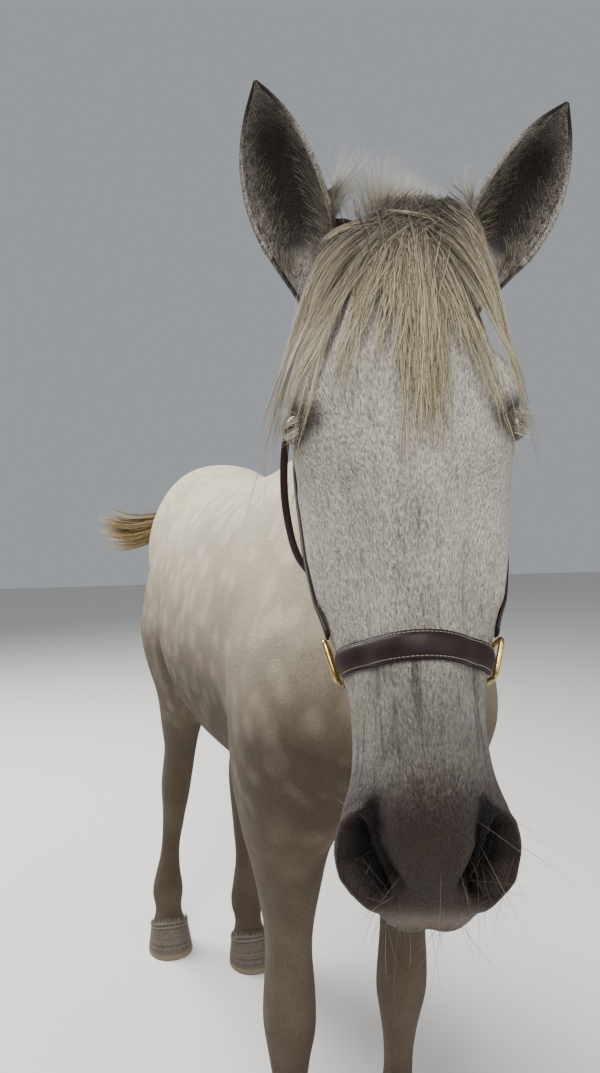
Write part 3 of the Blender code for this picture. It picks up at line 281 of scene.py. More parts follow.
# Finer forms of the face: lines in the head's frame, each with its radius and its height
FINE_FORMS = (
    (((0.03, 0.3, 0.0), (0.034, 0.38, -0.01), (0.05, 0.45, -0.03)), 0.0035, 0.0012),
    (((0.078, 0.33, -0.06), (0.066, 0.42, -0.07), (0.058, 0.52, -0.07)), 0.0035, 0.0016),
    (((0.066, 0.42, -0.07), (0.052, 0.5, -0.1)), 0.003, 0.0014),
    (((0.094, 0.2, -0.012), (0.112, 0.214, -0.024)), 0.004, 0.0016),
    (((0.088, 0.185, -0.01), (0.11, 0.196, -0.02)), 0.0035, -0.0014),
    (((0.01, 0.655, -0.045), (0.008, 0.69, -0.095)), 0.01, -0.002),
    (((0.03, 0.56, -0.02), (0.05, 0.575, -0.035)), 0.006, -0.0018),
    (((0.038, 0.69, -0.108), (0.012, 0.702, -0.104)), 0.008, 0.0022),
    (((0.092, 0.237, -0.014), (0.11, 0.234, -0.03)), 0.016, -0.0085),
)

# Tail, from inside the croup, swept to the horse's right
TAIL_LINE = (
    (0.0, 1.38, 1.49), (-0.005, 1.46, 1.505), (-0.04, 1.535, 1.49), (-0.13, 1.59, 1.45),
    (-0.24, 1.61, 1.43), (-0.36, 1.6, 1.46),
)
DOCK_RADIUS, DOCK_TAPER = 0.034, 0.6
TAIL_GUIDES, TAIL_HAIRS = 80, 26
TAIL_SPREAD, TAIL_REACHES = 0.075, (0.75, 1.0)
TAIL_STEPS = 32

# The skin: its depth under the solids, and the blends that join its parts
COAT_DEPTH = 0.001
BODY_VOXEL, BODY_ROUNDS = 0.014, 6
SKIN_VOXEL, SKIN_ROUNDS = 0.006, 5
BODY_TRIANGLES = 62000
HEAD_EDGE = (-0.01, 0.03)
REFINED_SMOOTHING = 0.3

# Lie of the coat, as directions over the trunk and down the legs, and where the one turns into the other
TRUNK_LIE, LEG_LIE = (0.0, 0.8, -0.6), (0.0, 0.1, -1.0)
LEG_LIE_TOP, LEG_LIE_RUN = 0.95, 0.18

# Markings: places down the face as t, heights as z, and shares of full grey or of full dark
MUZZLE_RUN, MUZZLE_SIDE, MUZZLE_LAG = (0.52, 0.64), 0.03, 0.1
# Painted shade, near black, in the nostril pits and along the mouth's crease: the pit's edge, top and end,
# and the mouth line's width
PIT_EDGE, PIT_TOP, PIT_END = (0.7, 1.05), (0.58, 0.6), -0.14
MOUTH_LINE_WIDTH = 0.0035
LIP_PLACE, LIP_WIDTH, LIP_DEPTHS = 0.694, 0.008, (0.03, 0.08)
# Grey by height: the coat's own grey legs, knees and hocks, and painted light and shade that pales the top of
# the body and greys it down its sides to the belly
GREY_LOW, GREY_AND_SHADE_FALL, GREY_AND_SHADE_HEIGHTS, GREY_MOST = 1.1, 1.08, (0.92, 1.64), 0.97
GREY_JOINTS, JOINT_GREY = ((0.53, 0.1), (0.17, 0.06)), 0.25
STRIPE_WIDTH, STRIPE_RUN, STRIPE_END, STRIPE_GREY = 0.026, (0.22, 0.34), (0.4, 0.5), 0.3
FACE_FLECKS, BODY_FLECKS, EAR_FLECKS = 0.2, 0.26, 0.2
LOWER_FLECKS, LOWER_FACE = 0.22, (0.2, 0.4)
TEMPLE_RUN, TEMPLE_GREY = (0.02, 0.2), 0.5
NOSE_RUN, NOSE_GREY = (0.38, 0.58), 0.86
FACE_EDGE = (-0.2, 0.05)

# All hair: a hair's path, its patch on the map, and how many strands stray from their lock, and how far
HAIR_SEED = 11
STRAND_STEPS, GUIDE_STEPS = 10, 16
STAGE = np.linspace(0.0, 1.0, GUIDE_STEPS)[None]
PATCH = 0.003
STRAY_SHARE, STRAY_SPREAD = 0.09, 3.6
ROOT_DEPTH, ROOT_RISE = 0.004, 0.22
FLOOR_GAP = 0.0005
LOCK_NARROWING, LOCK_RISE, LOCK_LOOSENESS = 0.72, 0.4, (0.5, 1.5)
WAVE_TURNS, WAVE_STARTS = (4, 9), (0, 6.3)
HAIR_SIZES = (0.6, 1.3)

# Forelock and fringe, as sheets of guides that part at the whorl: count, spread of the roots round the whorl,
# s of the first and last tip, t of the tips, how soon they turn sideways, and how high they arch
WHORL = (0.018, -0.004)
FORELOCK_SHEETS = (
    (26, 0.012, (-0.004, 0.026), (0.235, 0.33), 1.0, 0.016),
    (16, 0.024, (-0.165, -0.128), (0.2, 0.32), 0.52, 0.022),
    (11, 0.022, (-0.118, -0.052), (0.11, 0.255), 0.6, 0.02),
    (6, 0.02, (-0.06, -0.01), (0.15, 0.25), 0.8, 0.016),
)
FRINGE_SHEETS = (
    (7, 0.018, (0.04, 0.075), (0.11, 0.24), 0.8, 0.014),
    (20, 0.022, (0.092, 0.15), (0.17, 0.32), 0.62, 0.018),
    (16, 0.03, (-0.095, 0.095), (0.02, 0.12), 0.6, 0.026),
)
FORELOCK_HAIRS, FORELOCK_LIFTS = 44, (0.004, 0.014)
BROW_LEVEL, BROW_SIDE, BROW_FALL, BROW_RUN = 0.012, 0.09, 0.05, 0.03
ARCH_PLACE = (0.14, 0.12)
WHORL_LOOPS, WHORL_HAIRS = 44, 26
WHORL_RADII, WHORL_GROWTH, WHORL_FLATNESS = (0.01, 0.03), 0.35, 0.8
WHORL_STARTS, WHORL_TURNS = (-2.6, 0.4), (2.2, 4.4)
WHORL_LEVELS, WHORL_ARCH, WHORL_ROOTS = (0.012, 0.022), 0.008, -0.003
POLL_HAIRS = 3000
POLL_SIDES, POLL_DEPTHS, POLL_CREST = (-0.054, 0.056), (-0.06, 0.002), (-0.026, 0.018)
POLL_LENGTHS = (0.018, 0.042)

# Mane: shares of the neck between which it grows, lifts over the skin, and angles from the crest
MANE_SHARES = (0.34, 0.97)
MANE_GUIDES, MANE_HAIRS = 96, 26
MANE_LIFTS = (0.006, 0.022)
MANE_TAPER = 0.16
MANE_ROOT_ANGLES = (math.radians(6.0), math.radians(-6.0))
MANE_FALL, MANE_REACHES = math.radians(-112.0), (0.7, 1.0)
MANE_SLIDES = (-0.1, 0.01)
LONG_HAIR_WIDTH = 0.0019

# Short hair: tufts of the coat, lashes and whiskers
HEAD_TUFTS, BODY_TUFTS = 5000, 7000
TUFT_STEPS = 5
TUFT_LENGTH, TUFT_LENGTHENING, TUFT_SHORTENING = 0.01, 0.006, 0.45
TUFT_WIDTH, TUFT_THINNING = 0.0013, 0.0005
JAW_DEPTHS, JAW_END = (0.12, 0.26), 0.6
FETLOCK, BELLY = (0.16, 0.07), (0.88, 0.06)
LEAST_TUFTS, JAW_TUFTS, FETLOCK_TUFTS, BELLY_TUFTS = 0.05, 2.0, 3.0, 0.5
LASHES, LASH_LENGTHS = 70, (0.01, 0.021)
WHISKERS, WHISKER_LENGTHS = 170, (0.02, 0.07)
FEELER_WIDTH = 0.00042

# Unwraps for the hair's maps: the depth of the head's axis, the height of the trunk's, and the margins
CHEEK_DEPTH, TRUNK_AXIS = 0.06, 1.15
CHART_TURN, CHART_START, CHART_RUN = 0.96, 0.02, 0.95

# Halter: routes in the head's frame, from the right side to the middle
NOSE_ROUTE = [(-0.085, 0.473, -0.074), (-0.08, 0.472, -0.03), (-0.045, 0.472, 0.02), (0.0, 0.472, 0.022)]
CHIN_ROUTE = [(-0.08, 0.482, -0.126), (-0.075, 0.488, -0.16), (-0.045, 0.492, -0.2), (0.0, 0.494, -0.215)]
HEADSTALL_ROUTE = [
    (-0.088, 0.44, -0.09), (-0.1, 0.36, -0.105), (-0.118, 0.28, -0.125), (-0.118, 0.2, -0.135),
    (-0.114, 0.12, -0.132), (-0.112, 0.035, -0.132), (-0.09, -0.04, -0.09), (0.0, -0.06, 0.0),
]
THROAT_ROUTE = [
    (-0.112, 0.105, -0.15), (-0.13, 0.17, -0.19), (-0.13, 0.24, -0.235), (-0.11, 0.285, -0.3),
    (-0.06, 0.3, -0.35), (0.0, 0.302, -0.362),
]

# Straps: name, route, width, thickness and steps, then the section's places across and its shares
STRAPS = (
    ("noseband", NOSE_ROUTE, 0.027, 0.0058, 110), ("chin", CHIN_ROUTE, 0.019, 0.0048, 90),
    ("headstall", HEADSTALL_ROUTE, 0.019, 0.0042, 240),
)
STRAP_PLACES = np.array((-1.0, -0.97, -0.88, -0.76, -0.72, -0.5, 0.0, 0.5, 0.72, 0.76, 0.88, 0.97, 1.0))
STRAP_LIFT = 0.0008
STRAP_SMOOTHING, TURN_SMOOTHING = 40, 6
PADDED_HALF, PADDING, STRAP_EDGE = 0.76, 0.45, 0.55
STITCH_ROW, STITCH_LEVEL = 0.8, 0.56
STITCH_PITCH, STITCH_RADIUS = 0.0042, 0.00042
THROAT_STRAP_RADIUS = 0.0048
RING_CENTRE = (0.078, 0.463, -0.1)
RING_SIZE = (0.04, 0.03)
RING_RADIUS, RING_LIFT = 0.0028, 0.0065
RING_SQUARENESS = 0.35

# Scales of the patterns: single hairs are too fine to show, so the coat's rows are drawn a few hairs wide
HAIR_PITCH = 0.0019
LOCK_PITCH = 0.02
FLECK_PITCH = 0.0022
VEIN_PITCH = 0.0075
DAPPLE_PITCH = 0.055
LEATHER_GRAIN = 0.0011
PUPIL = (0.3, 0.14)
IRIS_ANGLE, IRIS_EDGE = math.radians(40.0), 0.012

# What the coat reads on its points, the colour of its palest hairs, and regions with colour and strength; the
# region round the eye is dark lid skin with painted shade of the socket
COAT_MARKS = ("head", "face", "leg", "muzzle", "lids", "black", "lip", "grey", "flecks", "ear")
LIGHT_HAIR = "E4DED4"
# The near-black region is painted shade in the nostril pits and along the mouth's crease
DARK_REGIONS = (
    ("lip", "8E8074", 0.55), ("lids", "211A18", 0.92), ("ear", "120B09", 0.96), ("black", "0E0A0A", 0.97),
)

# Settings that many nodes share
OF_COLOURS = {"data_type": "RGBA"}
TIMES, TIMES_PLUS = {"operation": "MULTIPLY"}, {"operation": "MULTIPLY_ADD"}
SOFTLY = {"interpolation_type": "SMOOTHSTEP"}

# Stage: lamps have a place, what they point at, a diameter and a power in watts
FLOOR_COLOUR, ROOM_COLOUR, ROOM_STRENGTH = "D9D6D1", "E9EEF5", 0.42
LAMPS = (
    ("key", (-1.8, -2.9, 5.0), (-0.1, 0.0, 1.2), 2.2, 275.0),
    ("back", (-1.6, 4.0, 5.0), (0.0, 0.4, 1.2), 3.0, 640.0),
    ("front", (2.4, -4.4, 3.0), (-0.2, -0.6, 1.3), 2.4, 105.0),
)
CAMERA_PLACE = (-0.62, -1.5)
CAMERA_YAW, CAMERA_PITCH = math.radians(19.05), math.radians(1.7)
CAMERA_LENS, CAMERA_SENSOR, CAMERA_END = 27.0, 36.0, 60.0


def curve(outline, places):
    """Smooth curve through an outline's pairs: cubics whose ends have the slopes of their neighbours."""
    knots, values = np.array(outline, float).T
    slopes = np.gradient(values, knots)
    places = np.clip(places, knots[0], knots[-1])
    left = np.clip(np.searchsorted(knots, places) - 1, 0, len(knots) - 2)
    span = knots[left + 1] - knots[left]
    part = (places - knots[left]) / span
    start = values[left] * (1 + 2 * part) * (1 - part) ** 2 + span * slopes[left] * part * (1 - part) ** 2
    end = values[left + 1] * part**2 * (3 - 2 * part) + span * slopes[left + 1] * part**2 * (part - 1)
    return start + end


def unit(vectors):
    """The vectors scaled to length one, along their last axis."""
    return vectors / np.maximum(np.linalg.norm(vectors, axis=-1, keepdims=True), 1e-12)


def smooth_step(values, low, high):
    """0 below low, 1 above high, and between them an even S-shaped rise."""
    share = np.clip((values - low) / (high - low), 0.0, 1.0)
    return share * share * (3.0 - 2.0 * share)


def lengths_along(line):
    """How far along a line of points each of them lies."""
    return np.concatenate(([0.0], np.cumsum(np.linalg.norm(np.diff(line, axis=0), axis=1))))


def bell(values, middle, reach, power=2):
    """exp(-((value - middle) / reach)^power): 1 at the middle, and falling off past the reach."""
    return np.exp(-(((values - middle) / reach) ** power))


def path(points, count):
    """Smooth path through the points, as evenly spaced places along it."""
    points = np.array(points, float)
    knots = lengths_along(points)
    places = np.linspace(0.0, knots[-1], count)
    return np.stack([curve(np.stack([knots, values], 1), places) for values in points.T], 1)


def evened(lines, rounds):
    """Averages each point of the lines with its two neighbours, in rounds, and keeps the ends."""
    lines = lines.copy()
    for _ in range(rounds):
        lines[..., 1:-1, :] = (lines[..., :-2, :] + lines[..., 1:-1, :] + lines[..., 2:, :]) / 3
    return lines


def round_section(count):
    """Angles around a section, starting at the top and turning towards the left side."""
    return np.linspace(0.0, 2.0 * math.pi, count, endpoint=False)


def signed_power(values, power):
    """The values' sizes to a power, with their own signs: on sine and cosine it gives a superellipse."""
    return np.sign(values) * np.abs(values) ** power


def rounded(angle, ridge):
    """Sideways share of a section at an angle: 0 is an ellipse, above it a narrow ridge."""
    return signed_power(np.sin(angle), 1.0 + ridge)


def net(rings, size, around=True, ends=True):
    """Triangles over a grid of rings of points, closed around each ring and at both ends where asked."""
    index = np.arange(rings * size).reshape(rings, size)
    here = index if around else index[:, :-1]
    ahead = np.roll(index, -1, axis=1) if around else index[:, 1:]
    halves = (here[:-1], ahead[:-1], ahead[1:]), (here[:-1], ahead[1:], here[1:])
    faces = [np.stack(half, -1).reshape(-1, 3) for half in halves]
    if ends:
        first, last = index[0], index[-1]
        faces.append(np.stack([np.full(size - 2, first[0]), first[2:], first[1:-1]], 1))
        faces.append(np.stack([np.full(size - 2, last[0]), last[1:-1], last[2:]], 1))
    return np.concatenate(faces)


def add_object(name, data):
    """A new object in the scene with the given mesh, lamp or camera."""
    added = bpy.data.objects.new(name, data)
    bpy.context.scene.collection.objects.link(added)
    return added


def add_mesh(name, points, triangles, marks=None, patches=None, turn_out=True):
    """A new object from points, also as a grid, and triangles, with values on its points and a map
    named OFBake where patches are given."""
    mesh = bpy.data.meshes.new(name)
    mesh.vertices.add(np.size(points) // 3)
    mesh.vertices.foreach_set("co", np.ravel(points).astype(np.float32))
    mesh.loops.add(3 * len(triangles))
    mesh.loops.foreach_set("vertex_index", np.ravel(triangles).astype(np.int32))
    mesh.polygons.add(len(triangles))
    mesh.polygons.foreach_set("loop_start", np.arange(0, 3 * len(triangles), 3, dtype=np.int32))
    mesh.update(calc_edges=True)
    for mark, values in (marks or {}).items():
        layer = mesh.attributes.new(mark, "FLOAT", "POINT")
        layer.data.foreach_set("value", np.ravel(values).astype(np.float32))
    if patches is not None:
        corners = mesh.uv_layers.new(name="OFBake")
        corners.data.foreach_set("uv", np.ravel(patches[np.ravel(triangles)]).astype(np.float32))
    if turn_out:
        shape = bmesh.new()
        shape.from_mesh(mesh)
        bmesh.ops.recalc_face_normals(shape, faces=shape.faces)
        shape.to_mesh(mesh)
        shape.free()
    mesh.shade_smooth()
    return add_object(name, mesh)


def read(items, key, size=3, kind=float):
    """What all the items of a mesh hold under a key, as an array with three columns."""
    values = np.empty(len(items) * size, dtype=kind)
    items.foreach_get(key, values)
    return values.reshape(-1, 3)


def coordinates(body):
    """The vertices of an object as an array."""
    return read(body.data.vertices, "co")


def normals(body):
    """The vertex normals of an object as an array."""
    return read(body.data.vertex_normals, "vector")


def triangles_of(body):
    """The triangles of an object whose faces all are triangles, as an array of vertex numbers."""
    return read(body.data.loops, "vertex_index", 1, np.int32)


def set_coordinates(body, values):
    """Moves the vertices of an object to the given places."""
    body.data.vertices.foreach_set("co", np.ravel(values))
    body.data.update()


def apply_modifiers(body):
    """Replaces an object's mesh by the one its modifiers give, and drops the modifiers."""
    graph = bpy.context.evaluated_depsgraph_get()
    mesh = bpy.data.meshes.new_from_object(body.evaluated_get(graph))
    old = body.data
    body.modifiers.clear()
    body.data = mesh
    bpy.data.meshes.remove(old)


def remove(body):
    """Removes an object and its mesh."""
    mesh = body.data
    bpy.data.objects.remove(body)
    bpy.data.meshes.remove(mesh)


def add_modifier(body, kind, **settings):
    """Adds a modifier with its settings to an object."""
    modifier = body.modifiers.new(kind.lower(), kind)
    for setting, value in settings.items():
        setattr(modifier, setting, value)


def blend(bodies, name, voxel, rounds):
    """One even mesh around overlapping bodies, with its creases smoothed away in rounds."""
    joined = bmesh.new()
    for body in bodies:
        joined.from_mesh(body.data)
    mesh = bpy.data.meshes.new(name)
    joined.to_mesh(mesh)
    joined.free()
    whole = add_object(name, mesh)
    for body in bodies:
        remove(body)
    add_modifier(whole, "REMESH", mode="VOXEL", voxel_size=voxel)
    add_modifier(whole, "SMOOTH", factor=0.5, iterations=rounds)
    apply_modifiers(whole)
    return whole


def head_axes():
    """Directions s, t and n of the head: to its left, down the face and out of the face."""
    ahead_x, ahead_y = -math.sin(HEAD_YAW), -math.cos(HEAD_YAW)
    level, fall = math.cos(HEAD_SLOPE), math.sin(HEAD_SLOPE)
    down = np.array((ahead_x * fall, ahead_y * fall, -level))
    out = np.array((ahead_x * level, ahead_y * level, fall))
    left = np.cross(out, down)
    turned_left = math.cos(HEAD_ROLL) * left + math.sin(HEAD_ROLL) * out
    turned_out = math.cos(HEAD_ROLL) * out - math.sin(HEAD_ROLL) * left
    return np.stack([turned_left, down, turned_out])


HEAD_AXES = head_axes()


def from_head(points):
    """Places in the model of points given in the head's own frame."""
    return POLL + np.asarray(points, float) @ HEAD_AXES


def to_head(points):
    """Places in the head's own frame of points in the model."""
    return (points - POLL) @ HEAD_AXES.T


def mirrored(points, sign):
    """Points of the head's frame, or their twins on the right side for sign -1."""
    return np.array(points, float) * (sign, 1.0, 1.0)


def eye_axes():
    """The left eye's directions in the head's frame: along its axis, along its slit and above it."""
    axis = unit(np.array(EYE_AXIS))
    along = unit(np.array((0.0, math.cos(LID_TILT), math.sin(LID_TILT))))
    along = unit(along - (along @ axis) * axis)
    return axis, along, np.cross(axis, along)


def stand():
    """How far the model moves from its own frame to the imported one, by the box of the left eye's solid."""
    low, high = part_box("eye_left")
    return (np.array(low) + np.array(high)) / 2 - from_head(SOLID_EYE_CENTRE)


STAND = stand()


def trunk(rings=48, size=40):
    """The barrel along Y: level = flank + rise * cos(angle), and across = half width * sin(angle),
    drawn in towards the ridge of the back and the keel of the belly."""
    along = np.linspace(TOPLINE[0][0], TOPLINE[-1][0], rings)[:, None]
    angle = round_section(size)[None, :]
    upper = 0.5 + 0.5 * np.cos(angle)
    ridge = curve(BACK_RIDGE, along) * upper + curve(BELLY_KEEL, along) * (1.0 - upper)
    middle = curve(FLANK_LEVEL, along)
    rise = np.where(np.cos(angle) > 0, curve(TOPLINE, along) - middle, middle - curve(UNDERLINE, along))
    across = curve(TRUNK_HALF_WIDTH, along) * rounded(angle, ridge)
    points = np.stack([across, along + 0.0 * angle, middle + rise * np.cos(angle)], -1)
    return add_mesh("trunk", points, net(rings, size))


def neck_points(share, angle):
    """Places on the neck: its bent middle line at a share, plus half depth * cos(angle) towards the
    crest, plus half width * sin(angle) to the horse's left."""
    steps = path(NECK_LINE, NECK_STEPS)
    knots = np.linspace(0.0, 1.0, NECK_STEPS)
    ahead = np.gradient(steps, axis=0)
    middle, heading = (np.stack([np.interp(share, knots, line[:, axis]) for axis in range(3)], -1)
                       for line in (steps, ahead))
    heading = unit(heading)
    crest = unit(UP - (heading @ UP)[..., None] * heading)
    side = np.cross(heading, crest)
    upper = 0.5 + 0.5 * np.cos(angle)
    across = curve(NECK_HALF_WIDTH, share) * rounded(angle, curve(NECK_RIDGE, share) * upper)
    rise = curve(NECK_HALF_DEPTH, share) * np.cos(angle)
    return middle - across[..., None] * side + rise[..., None] * crest


def neck(rings=24, size=32):
    """The neck, from inside the chest to the poll."""
    share, angle = np.meshgrid(np.linspace(0.0, 1.0, rings), round_section(size), indexing="ij")
    return add_mesh("neck", neck_points(share, angle), net(rings, size))


def leg(name, sign, top, outlines, foot, middle, rings=56, size=20):
    """One leg through level ellipses between its outlines, leaning so that its foot has its own place."""
    front, back, outside, inside = outlines
    height = np.linspace(LEG_FOOT_END, top, rings)[:, None]
    angle = round_section(size)[None, :]
    swing = 1.0 - smooth_step(height, HOOF_HEIGHT, SWING_TOP)
    x_middle = (curve(outside, height) + curve(inside, height)) / 2 + (foot[0] - middle) * swing
    y_middle = (curve(front, height) + curve(back, height)) / 2 + foot[1] * swing
    across = (curve(outside, height) - curve(inside, height)) / 2 * np.sin(angle)
    along = (curve(back, height) - curve(front, height)) / 2 * np.cos(angle)
    points = np.stack([sign * (x_middle + across), y_middle + along, height + 0.0 * angle], -1)
    return add_mesh(name, points, net(rings, size))


def closed_curve(corners, size):
    """Closed smooth curves through the columns of corners, read at evenly shared places: cubics
    through each pair whose slopes are half the way between their neighbours."""
    count = corners.shape[1]
    place = np.linspace(0.0, count, size, endpoint=False)
    left = place.astype(int)
    part = place - left
    before, here, after, beyond = (
        np.take(corners, (left + shift) % count, axis=1) for shift in (-1, 0, 1, 2))
    bend = (2 * before - 5 * here + 4 * after - beyond) * part**2
    twist = (3 * here - before - 3 * after + beyond) * part**3
    return 0.5 * (2 * here + (after - before) * part + bend + twist)


def skull(rings=110, size=64):
    """The head down the face: each section is a closed smooth curve through the nose, the crest of the
    cheek bone, the cheek and the jaw on both sides."""
    down = np.linspace(FACE_LINE[0][0], FACE_LINE[-1][0], rings)
    face, jaw, crest = curve(FACE_LINE, down), curve(JAW_LINE, down), curve(CREST_LEVEL, down)
    cheek = CHEEK_MIX[0] * crest + CHEEK_MIX[1] * jaw + CHEEK_RAISE
    widths = [curve(outline, down) for outline in
              (NOSE_HALF_WIDTH, CREST_HALF_WIDTH, CHEEK_HALF_WIDTH, JAW_HALF_WIDTH)]
    levels = [face - NOSE_ROUND * (face - crest), crest, cheek, jaw + JAW_ROUND * (face - jaw)]
    zero = np.zeros_like(down)
    half_across = np.stack([zero] + widths + [zero], 1)
    half_out = np.stack([face] + levels + [jaw], 1)
    across = np.concatenate([half_across, -half_across[:, -2:0:-1]], 1)
    out = np.concatenate([half_out, half_out[:, -2:0:-1]], 1)
    grid = np.stack([closed_curve(across, size), down[:, None] + np.zeros(size), closed_curve(out, size)], -1)
    return add_mesh("skull", from_head(grid), net(rings, size))


def dock(rings=16, size=14):
    """The fleshy root of the tail: a tapered round section carried along the first half of its line."""
    middle = path(TAIL_LINE, rings)[: rings // 2]
    heading = unit(np.gradient(middle, axis=0))
    side = unit(np.cross(heading, UP))
    above = np.cross(side, heading)
    angle = round_section(size)[None, :, None]
    radius = np.linspace(DOCK_RADIUS, DOCK_TAPER * DOCK_RADIUS, len(middle))[:, None, None]
    grid = middle[:, None] + radius * (np.cos(angle) * above[:, None] + np.sin(angle) * side[:, None])
    return add_mesh("dock", grid, net(len(middle), size))


def near_line(points, line, values=None):
    """Distance from each point to a line of straight pieces, and a value read along the line there."""
    line = np.array(line, float)
    values = np.zeros(len(line)) if values is None else np.array(values, float)
    nearest = np.linalg.norm(points - line[0], axis=1)
    found = np.full(len(points), values[0])
    for start, end, first, last in zip(line[:-1], line[1:], values[:-1], values[1:]):
        run = end - start
        share = np.clip((points - start) @ run / (run @ run), 0.0, 1.0)
        distance = np.linalg.norm(points - start - share[:, None] * run, axis=1)
        found = np.where(distance < nearest, first + (last - first) * share, found)
        nearest = np.minimum(nearest, distance)
    return nearest, found


def press(body, line, radius, height):
    """Moves the skin by height * exp(-(distance / radius)^2) along its normal, on both sides."""
    for _, sign in SIDES:
        points = coordinates(body)
        reach, _ = near_line(to_head(points), mirrored(line, sign))
        lift = height * bell(reach, 0.0, radius)
        set_coordinates(body, points + lift[:, None] * normals(body))


def nostrils(body):
    """Sinks a comma-shaped pit inside the rim line, with steep walls, and rolls its wing outwards.

    The depth falls from the middle of the pit as 1 - (distance / width)^4, straight back into the muzzle.
    """
    for _, sign in SIDES:
        points = coordinates(body)
        local = to_head(points)
        reach, width = near_line(local, mirrored(NOSTRIL_LINE, sign), NOSTRIL_WIDTHS)
        share = np.clip(reach / width, 0.0, 1.0)
        outside = smooth_step(sign * local[:, 0], 0.02, 0.05) * smooth_step(-local[:, 2], -0.01, 0.02)
        rim = bell(reach, WING_PLACE * width, WING_BREADTH * width) * outside
        inward = unit(mirrored(NOSTRIL_INWARD, sign)) @ HEAD_AXES
        depth = NOSTRIL_DEPTH * (1.0 - share**4) * (width / max(NOSTRIL_WIDTHS)) ** 0.5
        wing = (NOSTRIL_WING * rim)[:, None] * normals(body)
        set_coordinates(body, points + depth[:, None] * inward + wing)


def head_part(points):
    """1 on the head, 0 on the neck and body, by the side of the poll's plane."""
    return smooth_step(past_poll(points), *HEAD_EDGE)


def past_poll(points):
    """How far places lie on the head's side of the poll's plane."""
    return (to_head(points) - HEAD_CUT) @ -np.array(HEAD_CUT_NORMAL)


def middles(body):
    """The middle of each triangle of an object."""
    return coordinates(body)[triangles_of(body)].mean(1)


def refine(body, wanted):
    """Splits the triangles whose middles are wanted in four, and evens out the places of their corners."""
    chosen = wanted(to_head(middles(body)))
    shape = bmesh.new()
    shape.from_mesh(body.data)
    shape.faces.ensure_lookup_table()
    edges = {edge for number in np.flatnonzero(chosen).tolist() for edge in shape.faces[number].edges}
    bmesh.ops.subdivide_edges(shape, edges=list(edges), cuts=1)
    bmesh.ops.triangulate(shape, faces=shape.faces)
    corners = [vertex for vertex in shape.verts if vertex.select]
    bmesh.ops.smooth_vert(shape, verts=corners, factor=REFINED_SMOOTHING)
    shape.to_mesh(body.data)
    shape.free()


def muzzle_zone(local):
    """The end of the head with nostrils and lips."""
    return local[:, 1] > MUZZLE_START


def rim_zone(local):
    """The nostrils' rims and the mouth's line."""
    near = np.zeros(len(local), bool)
    for _, sign in SIDES:
        reach, width = near_line(local, mirrored(NOSTRIL_LINE, sign), NOSTRIL_WIDTHS)
        mouth, _ = near_line(local, mirrored(MOUTH_LINE, sign))
        near |= (reach < PIT_REACH * width) | (mouth < MOUTH_REACH * MOUTH_WIDTH)
    return near


def flesh():
    """The skin in one piece, from lofts that are blended, thinned on the body and pressed on the face."""
    fore = (FORE_FRONT, FORE_BACK, FORE_OUTSIDE, FORE_INSIDE)
    hind = (HIND_FRONT, HIND_BACK, HIND_OUTSIDE, HIND_INSIDE)
    parts = [trunk(), neck(), dock()]
    for side, sign in SIDES:
        parts.append(leg(f"fore_{side}", sign, FORE_TOP, fore, FORE_FEET[side], FORE_MIDDLE))
        parts.append(leg(f"hind_{side}", sign, HIND_TOP, hind, HIND_FEET[side], HIND_MIDDLE))
    body = blend(parts, "body", BODY_VOXEL, BODY_ROUNDS)
    skin = blend([body, skull()], "skin", SKIN_VOXEL, SKIN_ROUNDS)
    add_modifier(skin, "TRIANGULATE", quad_method="BEAUTY")
    apply_modifiers(skin)
    on_head = head_part(middles(skin)) > 0.5
    group = skin.vertex_groups.new(name="body")
    group.add(np.flatnonzero(head_part(coordinates(skin)) < 0.5).tolist(), 1.0, "REPLACE")
    wanted = (BODY_TRIANGLES + on_head.sum()) / len(on_head)
    add_modifier(skin, "DECIMATE", ratio=wanted, vertex_group="body")
    apply_modifiers(skin)
    skin.vertex_groups.clear()
    refine(skin, muzzle_zone)
    refine(skin, rim_zone)
    for line, radius, height in (*FACE_FORMS, *FINE_FORMS):
        press(skin, line, radius, height)
    press(skin, MOUTH_LINE, MOUTH_WIDTH, -MOUTH_DEPTH)
    nostrils(skin)
    return skin


def eyelids(sign, steps=72):
    """The lids of one eye as one closed roll round its almond opening.

    In polar angles from the eye's axis the opening is the superellipse
    (|cos| / long)^p + (|sin| / height)^p = 1 / angle^p, and the profile runs out from it.
    """
    turn = round_section(steps)
    high = np.where(np.sin(turn) > 0, LID_UPPER, LID_LOWER)
    power = LID_POINTEDNESS
    wide, tall = (np.abs(np.cos(turn)) / LID_LONG) ** power, (np.abs(np.sin(turn)) / high) ** power
    opening = (wide + tall) ** (-1 / power)
    share, lift = np.array(LID_PROFILE).T
    angle = opening[:, None] + share[None, :] * (LID_END - opening)[:, None]
    axis, along, above = eye_axes()
    ring = np.cos(turn)[:, None] * along + np.sin(turn)[:, None] * above
    direction = np.cos(angle)[..., None] * axis + np.sin(angle)[..., None] * ring[:, None]
    left_eye = np.array(EYE_CENTRE) + (EYE_RADIUS + lift)[None, :, None] * direction
    points = from_head(mirrored(left_eye, sign))
    ground, out = drape(points)
    sunk = (smooth_step(share, *LID_SINK) * (np.arange(len(share)) < LID_OUTER))[None, :, None]
    points = points * (1 - sunk) + (ground - (COAT_DEPTH + LID_SINK_DEPTH) * out) * sunk
    closed = np.concatenate([net(steps, len(share), True, False), seam(steps, len(share))])
    return points.reshape(-1, 3), closed


def seam(rings, size):
    """Triangles that join the last ring of a grid to its first."""
    last = (rings - 1) * size + np.arange(size)
    first = np.arange(size)
    ahead, after = np.roll(last, -1), np.roll(first, -1)
    return np.concatenate([np.stack([last, ahead, after], 1), np.stack([last, after, first], 1)])


